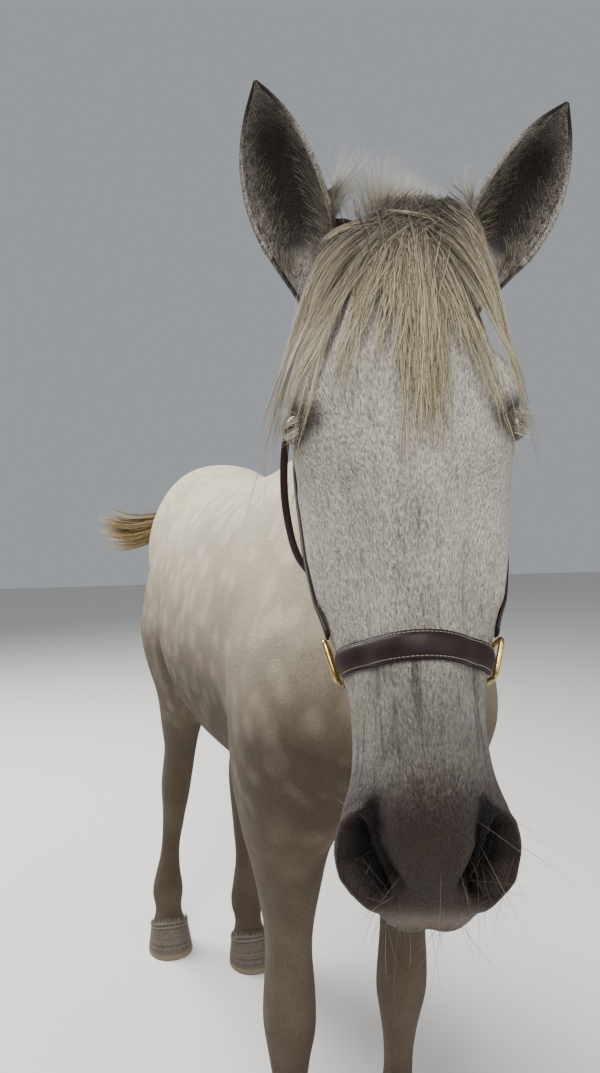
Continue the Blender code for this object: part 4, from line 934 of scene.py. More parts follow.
def ear_frame(side, sign):
    """An ear's root and tip, and its directions across and out of its cup, in the head's frame."""
    root, tip = mirrored(EAR_ROOT, sign), np.array(EAR_TIPS[side])
    heading = unit(tip - root)
    facing = mirrored(EAR_FACING, sign)
    facing = unit(facing - (facing @ heading) * heading)
    return root, tip, np.cross(heading, facing), facing


def ear_points(side, sign, share, angle, inside):
    """Places on an ear: a leaf whose section is an arc of an ellipse, width * sin(angle) across and
    depth * cos(angle) behind, on a line that bends back; inside, the arc is shallower by the cup."""
    root, tip, across, facing = ear_frame(side, sign)
    width, depth = curve(EAR_WIDTH, share), curve(EAR_DEPTH, share)
    wall = EAR_WALL / np.maximum(width, 2 * EAR_WALL)
    deep = np.where(inside, (1 - wall) * curve(EAR_CUP, share), 1.0)
    wide = np.where(inside, 1 - wall, 1.0)
    bulge = np.sin(math.pi * np.clip(share, 0.0, 1.0))[..., None]
    middle = root + share[..., None] * (tip - root) - bulge * (EAR_BEND * facing + sign * EAR_BOW * across)
    flat = wide * width * np.sin(angle), -deep * depth * np.cos(angle)
    return from_head(middle + flat[0][..., None] * across + flat[1][..., None] * facing)


def ear(side, sign, rings=60, size=44):
    """One ear as closed rings round its back and inside its cup, and how dark each point is."""
    half = size // 2
    outer = np.linspace(-EAR_WRAP, EAR_WRAP, half)
    angle = np.concatenate([outer, outer[::-1]])
    inside = np.arange(size) >= half
    share, angle = np.meshgrid(np.linspace(EAR_START, 1.0, rings), angle, indexing="ij")
    inside = np.broadcast_to(inside, share.shape)
    points = ear_points(side, sign, share, angle, inside)
    middle = bell(angle / EAR_WRAP, 0.0, EAR_DARK_WIDTH, 4)
    fading = 1 - EAR_DARK_LOSS * smooth_step(share, *EAR_DARK_END)
    dark = inside * middle * smooth_step(share, *EAR_DARK_START) * fading
    rim = bell(np.abs(angle) / EAR_WRAP, 1.0, EAR_RIM_WIDTH) * smooth_step(share, *EAR_RIM_START)
    return points.reshape(-1, 3), net(rings, size), np.maximum(dark, rim).ravel()


def markings(points):
    """The horse's markings and the lie of its hair, from 0 to 1, at places of the model."""
    local = to_head(points)
    head = head_part(points)
    down, side, out = local[:, 1], np.abs(local[:, 0]), local[:, 2]
    folded = np.stack([side, down, out], 1)
    inward = unit(np.array(NOSTRIL_INWARD))
    flat, line = (np.array(place) - (np.array(place) @ inward)[:, None] * inward
                  for place in (folded, NOSTRIL_LINE))
    nostril, width = near_line(flat, line, NOSTRIL_WIDTHS)
    mouth, _ = near_line(folded, MOUTH_LINE)
    muzzle = head * smooth_step(down + MUZZLE_LAG * np.clip(side - MUZZLE_SIDE, 0, 1), *MUZZLE_RUN)
    # Dark lid skin, spread over the socket round the eye as painted shade of its recess
    lids = head * bell(np.linalg.norm(folded - DARK_LID_AND_SHADE_CENTRE, axis=1), 0.0, DARK_LID_AND_SHADE_RADIUS, 4)
    # Painted shade: near black in the nostril pits and along the mouth's crease
    pit = (1 - smooth_step(nostril / width, *PIT_EDGE)) * smooth_step(down, *PIT_TOP) * (out > PIT_END)
    black = head * np.maximum(pit, bell(mouth, 0.0, MOUTH_LINE_WIDTH))
    lip_rim = head * bell(down, LIP_PLACE, LIP_WIDTH) * smooth_step(-out, *LIP_DEPTHS)

    height = points[:, 2]
    leg = (1 - head) * (1 - smooth_step(height, LEG_LIE_TOP - LEG_LIE_RUN, LEG_LIE_TOP))
    joints = sum(bell(height, level, reach) for level, reach in GREY_JOINTS)
    # Real grey of the legs and joints, with painted light and shade: paler along the top of the body, greyer
    # down its sides
    rise = GREY_LOW - GREY_AND_SHADE_FALL * smooth_step(height, *GREY_AND_SHADE_HEIGHTS) + JOINT_GREY * joints
    stripe = head * bell(side, 0.0, STRIPE_WIDTH) * smooth_step(down, *STRIPE_RUN)
    stripe = stripe * (1 - smooth_step(down, *STRIPE_END))
    temple = head * (1 - smooth_step(down, *TEMPLE_RUN)) * TEMPLE_GREY
    nose = head * smooth_step(down, *NOSE_RUN) * NOSE_GREY
    grey = (1 - head) * np.clip(rise, 0.0, GREY_MOST) + STRIPE_GREY * stripe + temple + nose
    face_flecks = FACE_FLECKS + LOWER_FLECKS * smooth_step(down, *LOWER_FACE)
    flecks = head * face_flecks * (1 - muzzle) + (1 - head) * BODY_FLECKS
    face = smooth_step(past_poll(points), *FACE_EDGE)
    return {"head": head, "face": face, "leg": leg, "muzzle": np.clip(muzzle, 0, 1), "lids": lids,
            "black": black, "lip": lip_rim, "grey": np.clip(grey, 0, 1), "flecks": flecks}


def skin_mesh():
    """The finished skin: flesh, lids and ears in one mesh, a coat's depth inside the solids."""
    body = flesh()
    parts = [(coordinates(body) - COAT_DEPTH * normals(body), triangles_of(body))]
    parts += [eyelids(sign) for _, sign in SIDES]
    remove(body)
    pieces = [(places, triangles, {"ear": np.zeros(len(places)), "on_ear": np.zeros(len(places))})
              for places, triangles in parts]
    for side, sign in SIDES:
        places, triangles, dark = ear(side, sign)
        pieces.append((places, triangles, {"ear": dark, "on_ear": np.ones(len(places))}))
    points, faces, found = join(pieces)
    marks = markings(points)
    marks["flecks"] = np.where(found["on_ear"] > 0, EAR_FLECKS, marks["flecks"])
    marks["ear"] = found["ear"]
    return add_mesh("skin", points, faces, marks)


def drape(points, lift=0.0):
    """The nearest places on the skin, at a height over it, and the skin's directions there."""
    shape = np.asarray(points, float).shape
    laid = []
    for height in (0.0, 0.01):
        mesh = bpy.data.meshes.new("guide")
        mesh.vertices.add(int(np.prod(shape[:-1])))
        mesh.vertices.foreach_set("co", np.ravel(points).astype(np.float32))
        guide = add_object("guide", mesh)
        add_modifier(guide, "SHRINKWRAP", target=bpy.data.objects["skin"], offset=height,
                     wrap_method="NEAREST_SURFACEPOINT", wrap_mode="ABOVE_SURFACE")
        apply_modifiers(guide)
        laid.append(coordinates(guide).reshape(shape))
        remove(guide)
    out = unit(laid[1] - laid[0])
    return laid[0] + np.asarray(lift)[..., None] * out, out


def lay(points, height):
    """Points brought to a height over the skin, where they aren't already further out than that."""
    ground, out = drape(points)
    above = ((points - ground) * out).sum(-1)
    height = np.broadcast_to(height, above.shape)
    free = smooth_step(above, height, height + 0.02)[..., None]
    return (ground + height[..., None] * out) * (1 - free) + points * free, out


def strands(middle, out, width, places, flatness=0.45):
    """Tapered hairs or locks, one for each row of middle lines, with three corners in each section.

    Corners are middle - across * width / 2, middle + out * width * flatness / 2 and
    middle + across * width / 2. Each hair's map is a small patch at its root's place.
    """
    count, steps = middle.shape[:2]
    heading = unit(np.gradient(middle, axis=1))
    across = unit(np.cross(heading, out))
    face = np.cross(across, heading)
    half = width[..., None] / 2
    corners = np.stack([middle - across * half, middle + face * half * flatness, middle + across * half], 2)
    corners[..., 2] = np.maximum(corners[..., 2], FLOOR_GAP)
    index = np.arange(count * steps * 3).reshape(count, steps, 3)
    after = np.roll(index, -1, axis=2)
    here, ahead, next_here, next_ahead = index[:, :-1], after[:, :-1], index[:, 1:], after[:, 1:]
    sides = [np.stack([here, ahead, next_ahead], -1), np.stack([here, next_ahead, next_here], -1)]
    ends = [index[:, 0, ::-1], index[:, -1]]
    faces = np.concatenate([part.reshape(-1, 3) for part in sides + ends])
    share = np.broadcast_to(np.linspace(0.0, 1.0, steps)[None, :, None], (count, steps, 3))
    sideways = np.broadcast_to(np.array((0.0, 0.5, 1.0)), (count, steps, 3))
    patch = places[:, None, None] + PATCH * np.stack([sideways, share], -1)
    tone = np.random.default_rng(HAIR_SEED).random(count)
    marks = {"along": share, "tone": np.broadcast_to(tone[:, None, None], (count, steps, 3))}
    return corners.reshape(-1, 3), faces, marks, patch.reshape(-1, 2)


def hairs_of(guides, out, per_guide, random, spread, width, curl, ends=(0.75, 1.0)):
    """Hairs around guide lines: each keeps to its guide with a sideways place that narrows to the tip.

    Place = guide(share * reach) + across * a * narrow + out * rise * the size of b * narrow, where
    narrow = spread * (1 - narrowing * share), with a wave of the curl's size added across; a and b
    are a hair's own draws.
    """
    groups, steps = guides.shape[:2]
    count = groups * per_guide
    reach = random.uniform(*ends, count)
    share = np.linspace(0.0, 1.0, STRAND_STEPS)[None] * reach[:, None] * (steps - 1)
    low = np.clip(share.astype(int), 0, steps - 2)
    part = (share - low)[..., None]
    group = np.repeat(np.arange(groups), per_guide)[:, None]
    line = guides[group, low] * (1 - part) + guides[group, low + 1] * part
    up = unit(out[group, low] * (1 - part) + out[group, low + 1] * part)
    across = unit(np.cross(unit(np.gradient(line, axis=1)), up))
    along = np.linspace(0.0, 1.0, STRAND_STEPS)[None]
    a, b = random.normal(0.0, 0.5, (2, count, 1))
    a = a * np.where(random.random((count, 1)) < STRAY_SHARE, STRAY_SPREAD, 1.0)
    loose = np.repeat(random.uniform(*LOCK_LOOSENESS, (groups, 1)), per_guide, axis=0)
    narrow = spread * loose * (1.0 - LOCK_NARROWING * along)
    turns, first = random.uniform(*WAVE_TURNS, (count, 1)), random.uniform(*WAVE_STARTS, (count, 1))
    wave = curl * along * np.sin(along * turns + first)
    aside, above = a * narrow + wave, np.abs(b) * LOCK_RISE * narrow
    line = line + across * aside[..., None] + up * above[..., None]
    full = np.clip(1.15 - along, 0.12, 1.0) ** 0.6 * width
    return line, up, full * random.uniform(*HAIR_SIZES, (count, 1))


def forelock_guides(sheets, random):
    """Guide lines that part at the whorl and hang free past the brow, and their arch over the whorl."""
    lines, arches = [], []
    for count, spread, tips, ends, turn, arch in sheets:
        share = (np.arange(count) + random.uniform(0.1, 0.9, count)) / count
        root = WHORL[0] + spread * (2 * share - 1) + random.normal(0, 0.3 * spread, count)
        tip = tips[0] + share * (tips[1] - tips[0]) + random.normal(0, 0.007, count)
        start = WHORL[1] + random.normal(0, 0.5 * spread, count)
        end = random.uniform(*ends, count)
        turned = STAGE ** (turn * random.uniform(0.85, 1.25, (count, 1)))
        side = root[:, None] + (tip - root)[:, None] * turned
        down = start[:, None] + (end - start)[:, None] * STAGE ** random.uniform(1.0, 1.25, (count, 1))
        level = BROW_LEVEL - BROW_FALL * np.clip(np.abs(side) - BROW_SIDE, 0.0, 1.0) / BROW_RUN
        lines.append(np.stack([side, down, level], -1))
        arches.append(arch * random.uniform(0.4, 1.1, (count, 1)) * bell(STAGE, *ARCH_PLACE))
    return from_head(np.concatenate(lines)), np.concatenate(arches)


def heights(count, first, last, random):
    """Heights over the skin along guides: from under it at the root to a lift between first and last."""
    lift = random.uniform(first, last, (count, 1))
    return -ROOT_DEPTH + (lift + ROOT_DEPTH) * smooth_step(STAGE, 0.0, ROOT_RISE)


def unwrapped(turn, place, start, run):
    """A place on a map: the turn round an axis, and the share of the run along it, inside the margins."""
    across, along = 0.5 + CHART_TURN * turn / (2 * math.pi), CHART_START + CHART_RUN * (place - start) / run
    return np.stack([across, along], -1)


def head_chart(points):
    """Unwraps the head: the angle round its axis and the place down the face, each from 0 to 1."""
    local = to_head(points)
    return unwrapped(np.arctan2(local[..., 0], local[..., 2] + CHEEK_DEPTH), local[..., 1], -0.20, 1.0)


def body_chart(points):
    """Unwraps neck, trunk and legs: the angle round the trunk's axis and the place along Y."""
    return unwrapped(np.arctan2(points[..., 0], points[..., 2] - TRUNK_AXIS), points[..., 1], -1.1, 2.9)


def forelock(sheets, seed):
    """Sheets of fine strands of the forelock, from the whorl between the ears over the forehead."""
    random = np.random.default_rng(seed)
    guides, arch = forelock_guides(sheets, random)
    guides, out = lay(guides, heights(len(guides), *FORELOCK_LIFTS, random) + arch)
    line, up, width = hairs_of(evened(guides, 3), out, FORELOCK_HAIRS, random, spread=0.011, width=0.00078,
                               curl=0.006, ends=(0.45, 1.0))
    return strands(line, up, width, head_chart(line[:, 0]))


def whorl():
    """The whorl between the ears: loose locks that circle it before they join the forelock.

    Loop = (s, t) of the whorl + radius * (cos, flatness * sin) of an angle that grows with the
    share, while the radius grows by a third.
    """
    random = np.random.default_rng(HAIR_SEED + 9)
    radius = random.uniform(*WHORL_RADII, (WHORL_LOOPS, 1))
    first = random.uniform(*WHORL_STARTS, (WHORL_LOOPS, 1))
    angle = first + random.uniform(*WHORL_TURNS, (WHORL_LOOPS, 1)) * STAGE
    wide = radius * (1.0 + WHORL_GROWTH * STAGE)
    centre = np.array(WHORL) + random.normal(0.0, 0.004, (WHORL_LOOPS, 2))
    side = centre[:, :1] + wide * np.cos(angle)
    down = centre[:, 1:] + wide * (WHORL_FLATNESS * np.sin(angle))
    line = from_head(np.stack([side, down, np.zeros_like(wide)], -1))
    level = random.uniform(*WHORL_LEVELS, (WHORL_LOOPS, 1)) + WHORL_ARCH * np.sin(math.pi * STAGE)
    guides, out = lay(line, np.where(STAGE < 0.05, WHORL_ROOTS, level))
    line, up, width = hairs_of(guides, out, WHORL_HAIRS, random, spread=0.007, width=0.00075, curl=0.002,
                               ends=(0.6, 1.0))
    return strands(line, up, width, head_chart(line[:, 0]))


def poll_tuft():
    """The bristly hair between the ears, which stands up and sweeps over the poll."""
    random = np.random.default_rng(HAIR_SEED + 1)
    count = POLL_HAIRS
    side = random.uniform(*POLL_SIDES, count)
    down = random.uniform(*POLL_DEPTHS, count)
    root, out = drape(from_head(np.stack([side, down, np.zeros(count)], 1)))
    sweep = np.stack([random.normal(0.1, 0.45, count), random.normal(-0.5, 0.6, count),
                      random.uniform(0.2, 0.9, count)], 1) @ HEAD_AXES
    crest = 1.0 + 0.5 * bell(side, *POLL_CREST)
    length = random.uniform(*POLL_LENGTHS, count) * crest
    stage = np.linspace(0.0, 1.0, STRAND_STEPS)[None, :, None]
    start = unit(out + 0.8 * unit(sweep))
    line = root[:, None] - 0.002 * out[:, None] + length[:, None, None] * (
        stage * start[:, None] + 0.5 * stage**2 * unit(sweep)[:, None])
    width = np.clip(1.1 - stage[..., 0], 0.15, 1.0) * 0.0008 * random.uniform(0.6, 1.2, (count, 1))
    up = np.broadcast_to(unit(np.cross(start, np.array((0.3, 1.0, 0.2))))[:, None], line.shape)
    return strands(line, up, width, head_chart(root))


def mane():
    """The mane: strands from the crest, which fall over the neck's right side and slide back a little."""
    random = np.random.default_rng(HAIR_SEED + 2)
    count = MANE_GUIDES
    first, last = MANE_SHARES
    share = first + (np.arange(count) + random.random(count)) / count * (last - first)
    root_angle = random.uniform(MANE_ROOT_ANGLES[1], MANE_ROOT_ANGLES[0], (count, 1))
    drop = MANE_FALL * random.uniform(*MANE_REACHES, (count, 1))
    drop = drop * (0.35 + 0.65 * smooth_step(share[:, None], first, first + MANE_TAPER))
    angle = root_angle + (drop - root_angle) * STAGE**1.15
    slide = random.uniform(*MANE_SLIDES, (count, 1)) * STAGE
    line = neck_points(share[:, None] + slide, angle)
    guides, out = lay(line, heights(count, *MANE_LIFTS, random))
    line, up, width = hairs_of(
        guides, out, MANE_HAIRS, random, spread=0.020, width=LONG_HAIR_WIDTH, curl=0.006)
    return strands(line, up, width, body_chart(line[:, 0]))


def tail():
    """The tail: long strands from the dock, swept with it to the horse's right, their tips fanned."""
    random = np.random.default_rng(HAIR_SEED + 3)
    count = TAIL_GUIDES
    middle = path(TAIL_LINE, TAIL_STEPS + 1)
    turn = random.uniform(0.0, 2 * math.pi, count)
    depth = np.sqrt(random.random(count))
    first = random.integers(4, TAIL_STEPS // 2 + 1, count)
    reach = random.uniform(*TAIL_REACHES, count)
    place = first[:, None] + (TAIL_STEPS * reach - first)[:, None] * STAGE
    low = np.clip(place.astype(int), 0, TAIL_STEPS - 1)
    part = (place - low)[..., None]
    line = middle[low] * (1 - part) + middle[low + 1] * part
    offset = np.stack([0.15 * np.cos(turn), 0.6 * np.cos(turn), np.sin(turn)], -1)
    fan = TAIL_SPREAD * (place / TAIL_STEPS) ** 1.5
    line = line + offset[:, None] * ((0.7 * DOCK_RADIUS + fan) * depth[:, None])[..., None]
    out = np.broadcast_to(unit(offset)[:, None], line.shape)
    line, up, width = hairs_of(line, out, TAIL_HAIRS, random, spread=0.016, width=LONG_HAIR_WIDTH, curl=0.008)
    return strands(line, up, width, body_chart(line[:, 0]) * (1, 0.4) + (0, 0.55))


def short_hairs(roots, out, heading, length, width, charts, random, steps=TUFT_STEPS, rise=0.35, bend=0.5):
    """Short hairs: root + length * (share * (heading + rise * out) - bend * rise * share^2 * out)."""
    count = len(roots)
    stage = np.linspace(0.0, 1.0, steps)[None, :, None]
    rise = rise * random.uniform(0.5, 1.4, count)[:, None, None]
    heading = unit(heading - (heading * out).sum(-1, keepdims=True) * out)[:, None]
    out = out[:, None]
    line = roots[:, None] - 0.0015 * out + length[:, None, None] * (
        stage * (heading + rise * out) - bend * rise * stage**2 * out)
    size = np.clip(1.15 - stage[..., 0], 0.15, 1.0) * np.broadcast_to(width, count)[:, None]
    return strands(line, np.broadcast_to(out, line.shape), size, charts)


def scatter(count, weight, random):
    """Places spread over the skin by area times a weight, which is worked out at the triangles' middles."""
    skin = bpy.data.objects["skin"]
    corners = coordinates(skin)[triangles_of(skin)]
    across = np.cross(corners[:, 1] - corners[:, 0], corners[:, 2] - corners[:, 0])
    area = np.linalg.norm(across, axis=1)
    share = np.cumsum(area * weight(corners.mean(1)))
    chosen = np.searchsorted(share, random.random(count) * share[-1])
    away, beside = np.sqrt(random.random(count))[:, None], random.random(count)[:, None]
    a, b, c = corners[chosen, 0], corners[chosen, 1], corners[chosen, 2]
    return a * (1 - away) + b * away * (1 - beside) + c * away * beside, unit(across[chosen])


def lie_of(points):
    """The lie of the coat: down the face and legs, and back and down over neck and trunk."""
    head = head_part(points)[:, None]
    leg = (1 - smooth_step(points[:, 2], LEG_LIE_TOP - LEG_LIE_RUN, LEG_LIE_TOP))[:, None]
    body = np.array(TRUNK_LIE) * (1 - leg) + np.array(LEG_LIE) * leg
    back = np.clip(-to_head(points)[:, 2:3] / 0.2, 0.0, 1.0)
    face = HEAD_AXES[1] * (1 - 0.5 * back) - HEAD_AXES[2] * back
    return unit(body * (1 - head) + face * head)


def fringe_weight(points):
    """How thick the short tufts stand: a few all over, and more at the jaw, the belly and the fetlocks."""
    local = to_head(points)
    head = head_part(points)
    jaw = head * smooth_step(-local[:, 2], *JAW_DEPTHS) * (local[:, 1] < JAW_END)
    fetlock = bell(points[:, 2], *FETLOCK) * FETLOCK_TUFTS
    belly = (1 - head) * bell(points[:, 2], *BELLY) * BELLY_TUFTS
    return LEAST_TUFTS + jaw * JAW_TUFTS + (1 - head) * fetlock + belly


def coat_fringe(count, on_head):
    """Short tufts of the coat on the head or the rest, denser where the coat breaks the outline."""
    random = np.random.default_rng(HAIR_SEED + 4)

    def weight_here(places):
        return fringe_weight(places) * ((head_part(places) > 0.5) == on_head)

    roots, out = scatter(count, weight_here, random)
    weight = np.clip(fringe_weight(roots), 0.0, 2.0)
    head = head_part(roots)
    length = (TUFT_LENGTH + TUFT_LENGTHENING * np.clip(weight, 0, 1)) * (1 - TUFT_SHORTENING * head)
    length = length * random.uniform(0.7, 1.2, count)
    width = (TUFT_WIDTH - TUFT_THINNING * head) * random.uniform(0.7, 1.3, count)
    heading = lie_of(roots) + random.normal(0.0, 0.12, (count, 3))
    made = short_hairs(roots, out, heading, length, width, chart(roots), random, rise=0.16)
    for mark, values in markings(roots).items():
        made[2][mark] = np.repeat(values, TUFT_STEPS * 3)
    return made


def chart(points):
    """Unwraps the whole skin: the head on the upper half of the map, the rest on the lower half."""
    head = (head_part(points) > 0.5)[:, None]
    return np.where(head, head_chart(points) * (1, 0.5) + (0, 0.5), body_chart(points) * (1, 0.48))


def ear_fringe():
    """Hair of the ears: a fringe along both edges, and soft tufts that cross the cup."""
    random = np.random.default_rng(HAIR_SEED + 5)
    pieces = []
    for side, sign in SIDES:
        count = EAR_HAIRS
        edge = np.where(random.random(count) < 0.5, 1.0, -1.0)
        share = random.uniform(*EAR_HAIR_PLACES, count)
        within = random.random(count) < EAR_INNER_SHARE
        inner, outer = (random.uniform(*places, count) for places in (EAR_INNER_PLACES, EAR_EDGE_PLACES))
        angle = edge * EAR_WRAP * np.where(within, inner, outer)
        root = ear_points(side, sign, share, angle, within)
        ahead = ear_points(side, sign, share + 0.02, angle, within)
        beside = ear_points(side, sign, share, angle + 0.05 * edge, within)
        facing = ear_frame(side, sign)[3]
        out = unit(np.broadcast_to(facing @ HEAD_AXES, root.shape))
        along, over = unit(ahead - root), unit(beside - root)
        heading = along + np.where(within, -0.9, 0.9)[:, None] * over * random.uniform(0.4, 1.2, (count, 1))
        length = np.where(within, *EAR_HAIR_LENGTHS) * random.uniform(0.6, 1.2, count) * (1 - 0.5 * share)
        charts = np.stack([0.25 + 0.5 * (sign > 0) + 0.2 * angle / EAR_WRAP, 0.05 + 0.9 * share], -1)
        pieces.append(short_hairs(root, out, heading, length, EAR_HAIR_WIDTH, charts, random,
                                  rise=0.5, bend=0.9))
    return join(pieces)


def join(pieces):
    """Several sets of points, triangles and marks as one, with their patches if they have them."""
    points, triangles, marks, *patches = zip(*pieces)
    first = np.cumsum([0] + [len(places) for places in points])
    faces = np.concatenate([part + start for part, start in zip(triangles, first)])
    joined = {mark: np.concatenate([np.ravel(values[mark]) for values in marks]) for mark in marks[0]}
    return (np.concatenate(points), faces, joined, *(np.concatenate(patch) for patch in patches))


def lashes():
    """Lashes on the upper lids, which stand out from the ridge of the lid and turn down the face."""
    random = np.random.default_rng(HAIR_SEED + 6)
    pieces = []
    for _, sign in SIDES:
        points, _ = eyelids(sign)
        ridge = points.reshape(-1, len(LID_PROFILE), 3)[:, LID_RIDGE]
        upper = ridge[2:len(ridge) // 2 - 2]
        place = random.uniform(0, len(upper) - 1.001, LASHES)
        low = place.astype(int)
        root = upper[low] + (place - low)[:, None] * (upper[low + 1] - upper[low])
        out = unit(root - from_head(mirrored(EYE_CENTRE, sign)))
        heading = unit(HEAD_AXES[2] * 0.30 + sign * HEAD_AXES[0] * 1.0 + HEAD_AXES[1] * 0.65)
        heading = heading + random.normal(0, 0.09, (LASHES, 3))
        length = random.uniform(*LASH_LENGTHS, LASHES)
        pieces.append(short_hairs(root, out, heading, length, FEELER_WIDTH, head_chart(root), random,
                                  rise=0.9, bend=0.35))
    return join(pieces)


def muzzle_weight(points):
    """Where whiskers grow: lips, chin and the sides of the muzzle."""
    local = to_head(points)
    below = 0.3 + smooth_step(-local[:, 2], 0.05, 0.12)
    return head_part(points) * smooth_step(local[:, 1], 0.58, 0.64) * below


def whiskers():
    """Long fine whiskers of the lips and chin, which stand out and droop."""
    random = np.random.default_rng(HAIR_SEED + 7)
    roots, out = scatter(WHISKERS, muzzle_weight, random)
    heading = lie_of(roots) * 0.5 - HEAD_AXES[2] * 0.4 + random.normal(0, 0.3, (WHISKERS, 3))
    length = random.uniform(*WHISKER_LENGTHS, WHISKERS)
    return short_hairs(roots, out, heading, length, FEELER_WIDTH, head_chart(roots), random,
                       steps=8, rise=1.2, bend=0.25)


def eyeball(sign, rings=40, size=56):
    """One eyeball round its own axis: radius = eye radius + cornea rise * exp(-(angle / cornea angle)^4)."""
    axis, along, above = eye_axes()
    angle, turn = np.meshgrid(np.linspace(0.01, math.pi - 0.01, rings), round_section(size), indexing="ij")
    radius = EYE_RADIUS - EYE_GAP + CORNEA_RISE * bell(angle, 0.0, CORNEA_ANGLE, 4)
    ring = np.cos(turn)[..., None] * along + np.sin(turn)[..., None] * above
    direction = np.cos(angle)[..., None] * axis + np.sin(angle)[..., None] * ring
    points = mirrored(np.array(EYE_CENTRE) + radius[..., None] * direction, sign)
    off_axis = np.sin(angle)
    marks = {"long": off_axis * np.cos(turn), "high": off_axis * np.sin(turn), "gaze": angle / math.pi}
    return from_head(points).reshape(-1, 3), net(rings, size), marks


def hoof(name, sign, foot, middle_y, sizes, rings=28, size=72):
    """A hoof wall: ellipses, squarer at the quarters, from the ground to the sloped crown, with growth rings
    that ripple its wall and a rolled lower edge."""
    share = np.linspace(0.0, 1.0, rings)[:, None]
    angle = round_section(size)[None, :]
    mix = {key: crown + (ground - crown) * (1.0 - share) for key, (crown, ground) in sizes.items()}
    waves = np.cos(2 * math.pi * HOOF_RINGS * share + 1.5 * np.sin(3 * angle))
    ripple = 1.0 - HOOF_RIPPLE * (0.5 + 0.5 * waves)
    ripple = ripple - HOOF_ROLL * (1.0 - smooth_step(share, 0.0, 0.10))
    along = (mix["back"] + mix["front"]) / 2 - (mix["back"] - mix["front"]) / 2 * np.cos(angle) * ripple
    across = mix["half_width"] * signed_power(np.sin(angle), HOOF_SQUARENESS) * ripple
    top = HOOF_HEIGHT - along * math.tan(CROWN_SLOPE)
    points = np.stack([sign * foot[0] + across, middle_y + foot[1] + along, top * share], -1)
    marks = {"along": np.broadcast_to(share, across.shape)}
    return add_mesh(name, points, net(rings, size), marks)


def crown_hair():
    """Short hair that falls from the crown of each hoof over its wall."""
    random = np.random.default_rng(HAIR_SEED + 8)
    roots, outs, places = [], [], []
    count = CROWN_HAIRS
    for end, middle_y, sizes, feet in HOOVES:
        for side, sign in SIDES:
            turn = random.uniform(0, 2 * math.pi, count)
            half, front, back = sizes["half_width"][0], sizes["front"][0], sizes["back"][0]
            along = (back + front) / 2 - (back - front) / 2 * np.cos(turn)
            across = half * np.sin(turn)
            level = HOOF_HEIGHT - along * math.tan(CROWN_SLOPE) + random.uniform(0.001, 0.014, count)
            x_middle, y_middle = sign * feet[side][0], middle_y + feet[side][1]
            roots.append(np.stack([x_middle + 0.97 * across, y_middle + 0.97 * along, level], 1))
            outs.append(unit(np.stack([np.sin(turn), -np.cos(turn), np.full(count, 0.3)], 1)))
            column = 0.05 + 0.2 * (2 * (end == "fore") + (sign > 0)) + 0.15 * turn / 6.3
            places.append(np.stack([column, 0.1 + 0.8 * random.random(count)], 1))
    roots, outs = np.concatenate(roots), np.concatenate(outs)
    heading = np.array((0.0, 0.0, -1.0)) + random.normal(0, 0.12, (len(roots), 3))
    length = random.uniform(*CROWN_HAIR_LENGTHS, len(roots))
    return short_hairs(roots, outs, heading, length, CROWN_HAIR_WIDTH, np.concatenate(places), random,
                       rise=0.30)


def strap(route, width, thickness, steps):
    """A leather strap along a route on the skin: a flat body with a padded middle and rounded edges.

    The section's height at a place x across is the edge's, plus the padding's
    (1 - (x / padded half)^2)^0.5 inside the stitching.
    """
    middle, out = drape(path(from_head(route), steps), STRAP_LIFT)
    out = unit(evened(out, TURN_SMOOTHING))
    middle, _ = lay(evened(middle, STRAP_SMOOTHING), STRAP_LIFT)
    ahead = np.gradient(middle, axis=0)
    across = unit(np.cross(ahead, out))
    out = np.cross(across, unit(ahead))
    half = width / 2
    places = STRAP_PLACES
    padding = np.sqrt(np.clip(1 - (places / PADDED_HALF) ** 2, 0.0, 1.0)) * PADDING * thickness
    top = STRAP_EDGE * thickness * np.clip((1 - places**8) * 4, 0.25, 1.0) + padding
    section = np.concatenate([places, places[::-1]]) * half
    level = np.concatenate([top, np.zeros(len(places))])
    grid = middle[:, None] + section[None, :, None] * across[:, None] + level[None, :, None] * out[:, None]
    marks = {"along": np.broadcast_to(lengths_along(middle)[:, None], grid.shape[:2]),
             "across": np.broadcast_to(section[None], grid.shape[:2])}
    body = grid.reshape(-1, 3), net(len(grid), len(section)), marks
    rows = [middle + side * STITCH_ROW * half * across + (STITCH_LEVEL * thickness) * out for side in (-1, 1)]
    return body, [(row, out) for row in rows]


def stitches(rows):
    """A row of waxed thread: short round stitches along a line, one each stitch length."""
    lines, ups = [], []
    for row, out in rows:
        length = lengths_along(row)
        first = np.arange(STITCH_PITCH, length[-1] - STITCH_PITCH, STITCH_PITCH)
        places = first[:, None] + STITCH_PITCH * np.array((0.0, 0.12, 0.40, 0.68, 0.80))
        line, up = (np.stack([np.interp(places, length, values) for values in found.T], -1)
                    for found in (row, out))
        rise = STITCH_RADIUS * np.array((-0.6, 0.7, 0.9, 0.7, -0.6))
        lines.append(line + rise[None, :, None] * unit(up))
        ups.append(unit(up))
    line, up = np.concatenate(lines), np.concatenate(ups)
    width = np.broadcast_to(2 * STITCH_RADIUS * np.array((0.7, 1.0, 1.0, 1.0, 0.7)), line.shape[:2])
    return strands(line, up, width, np.zeros((len(line), 2)), 1.0)[:3]


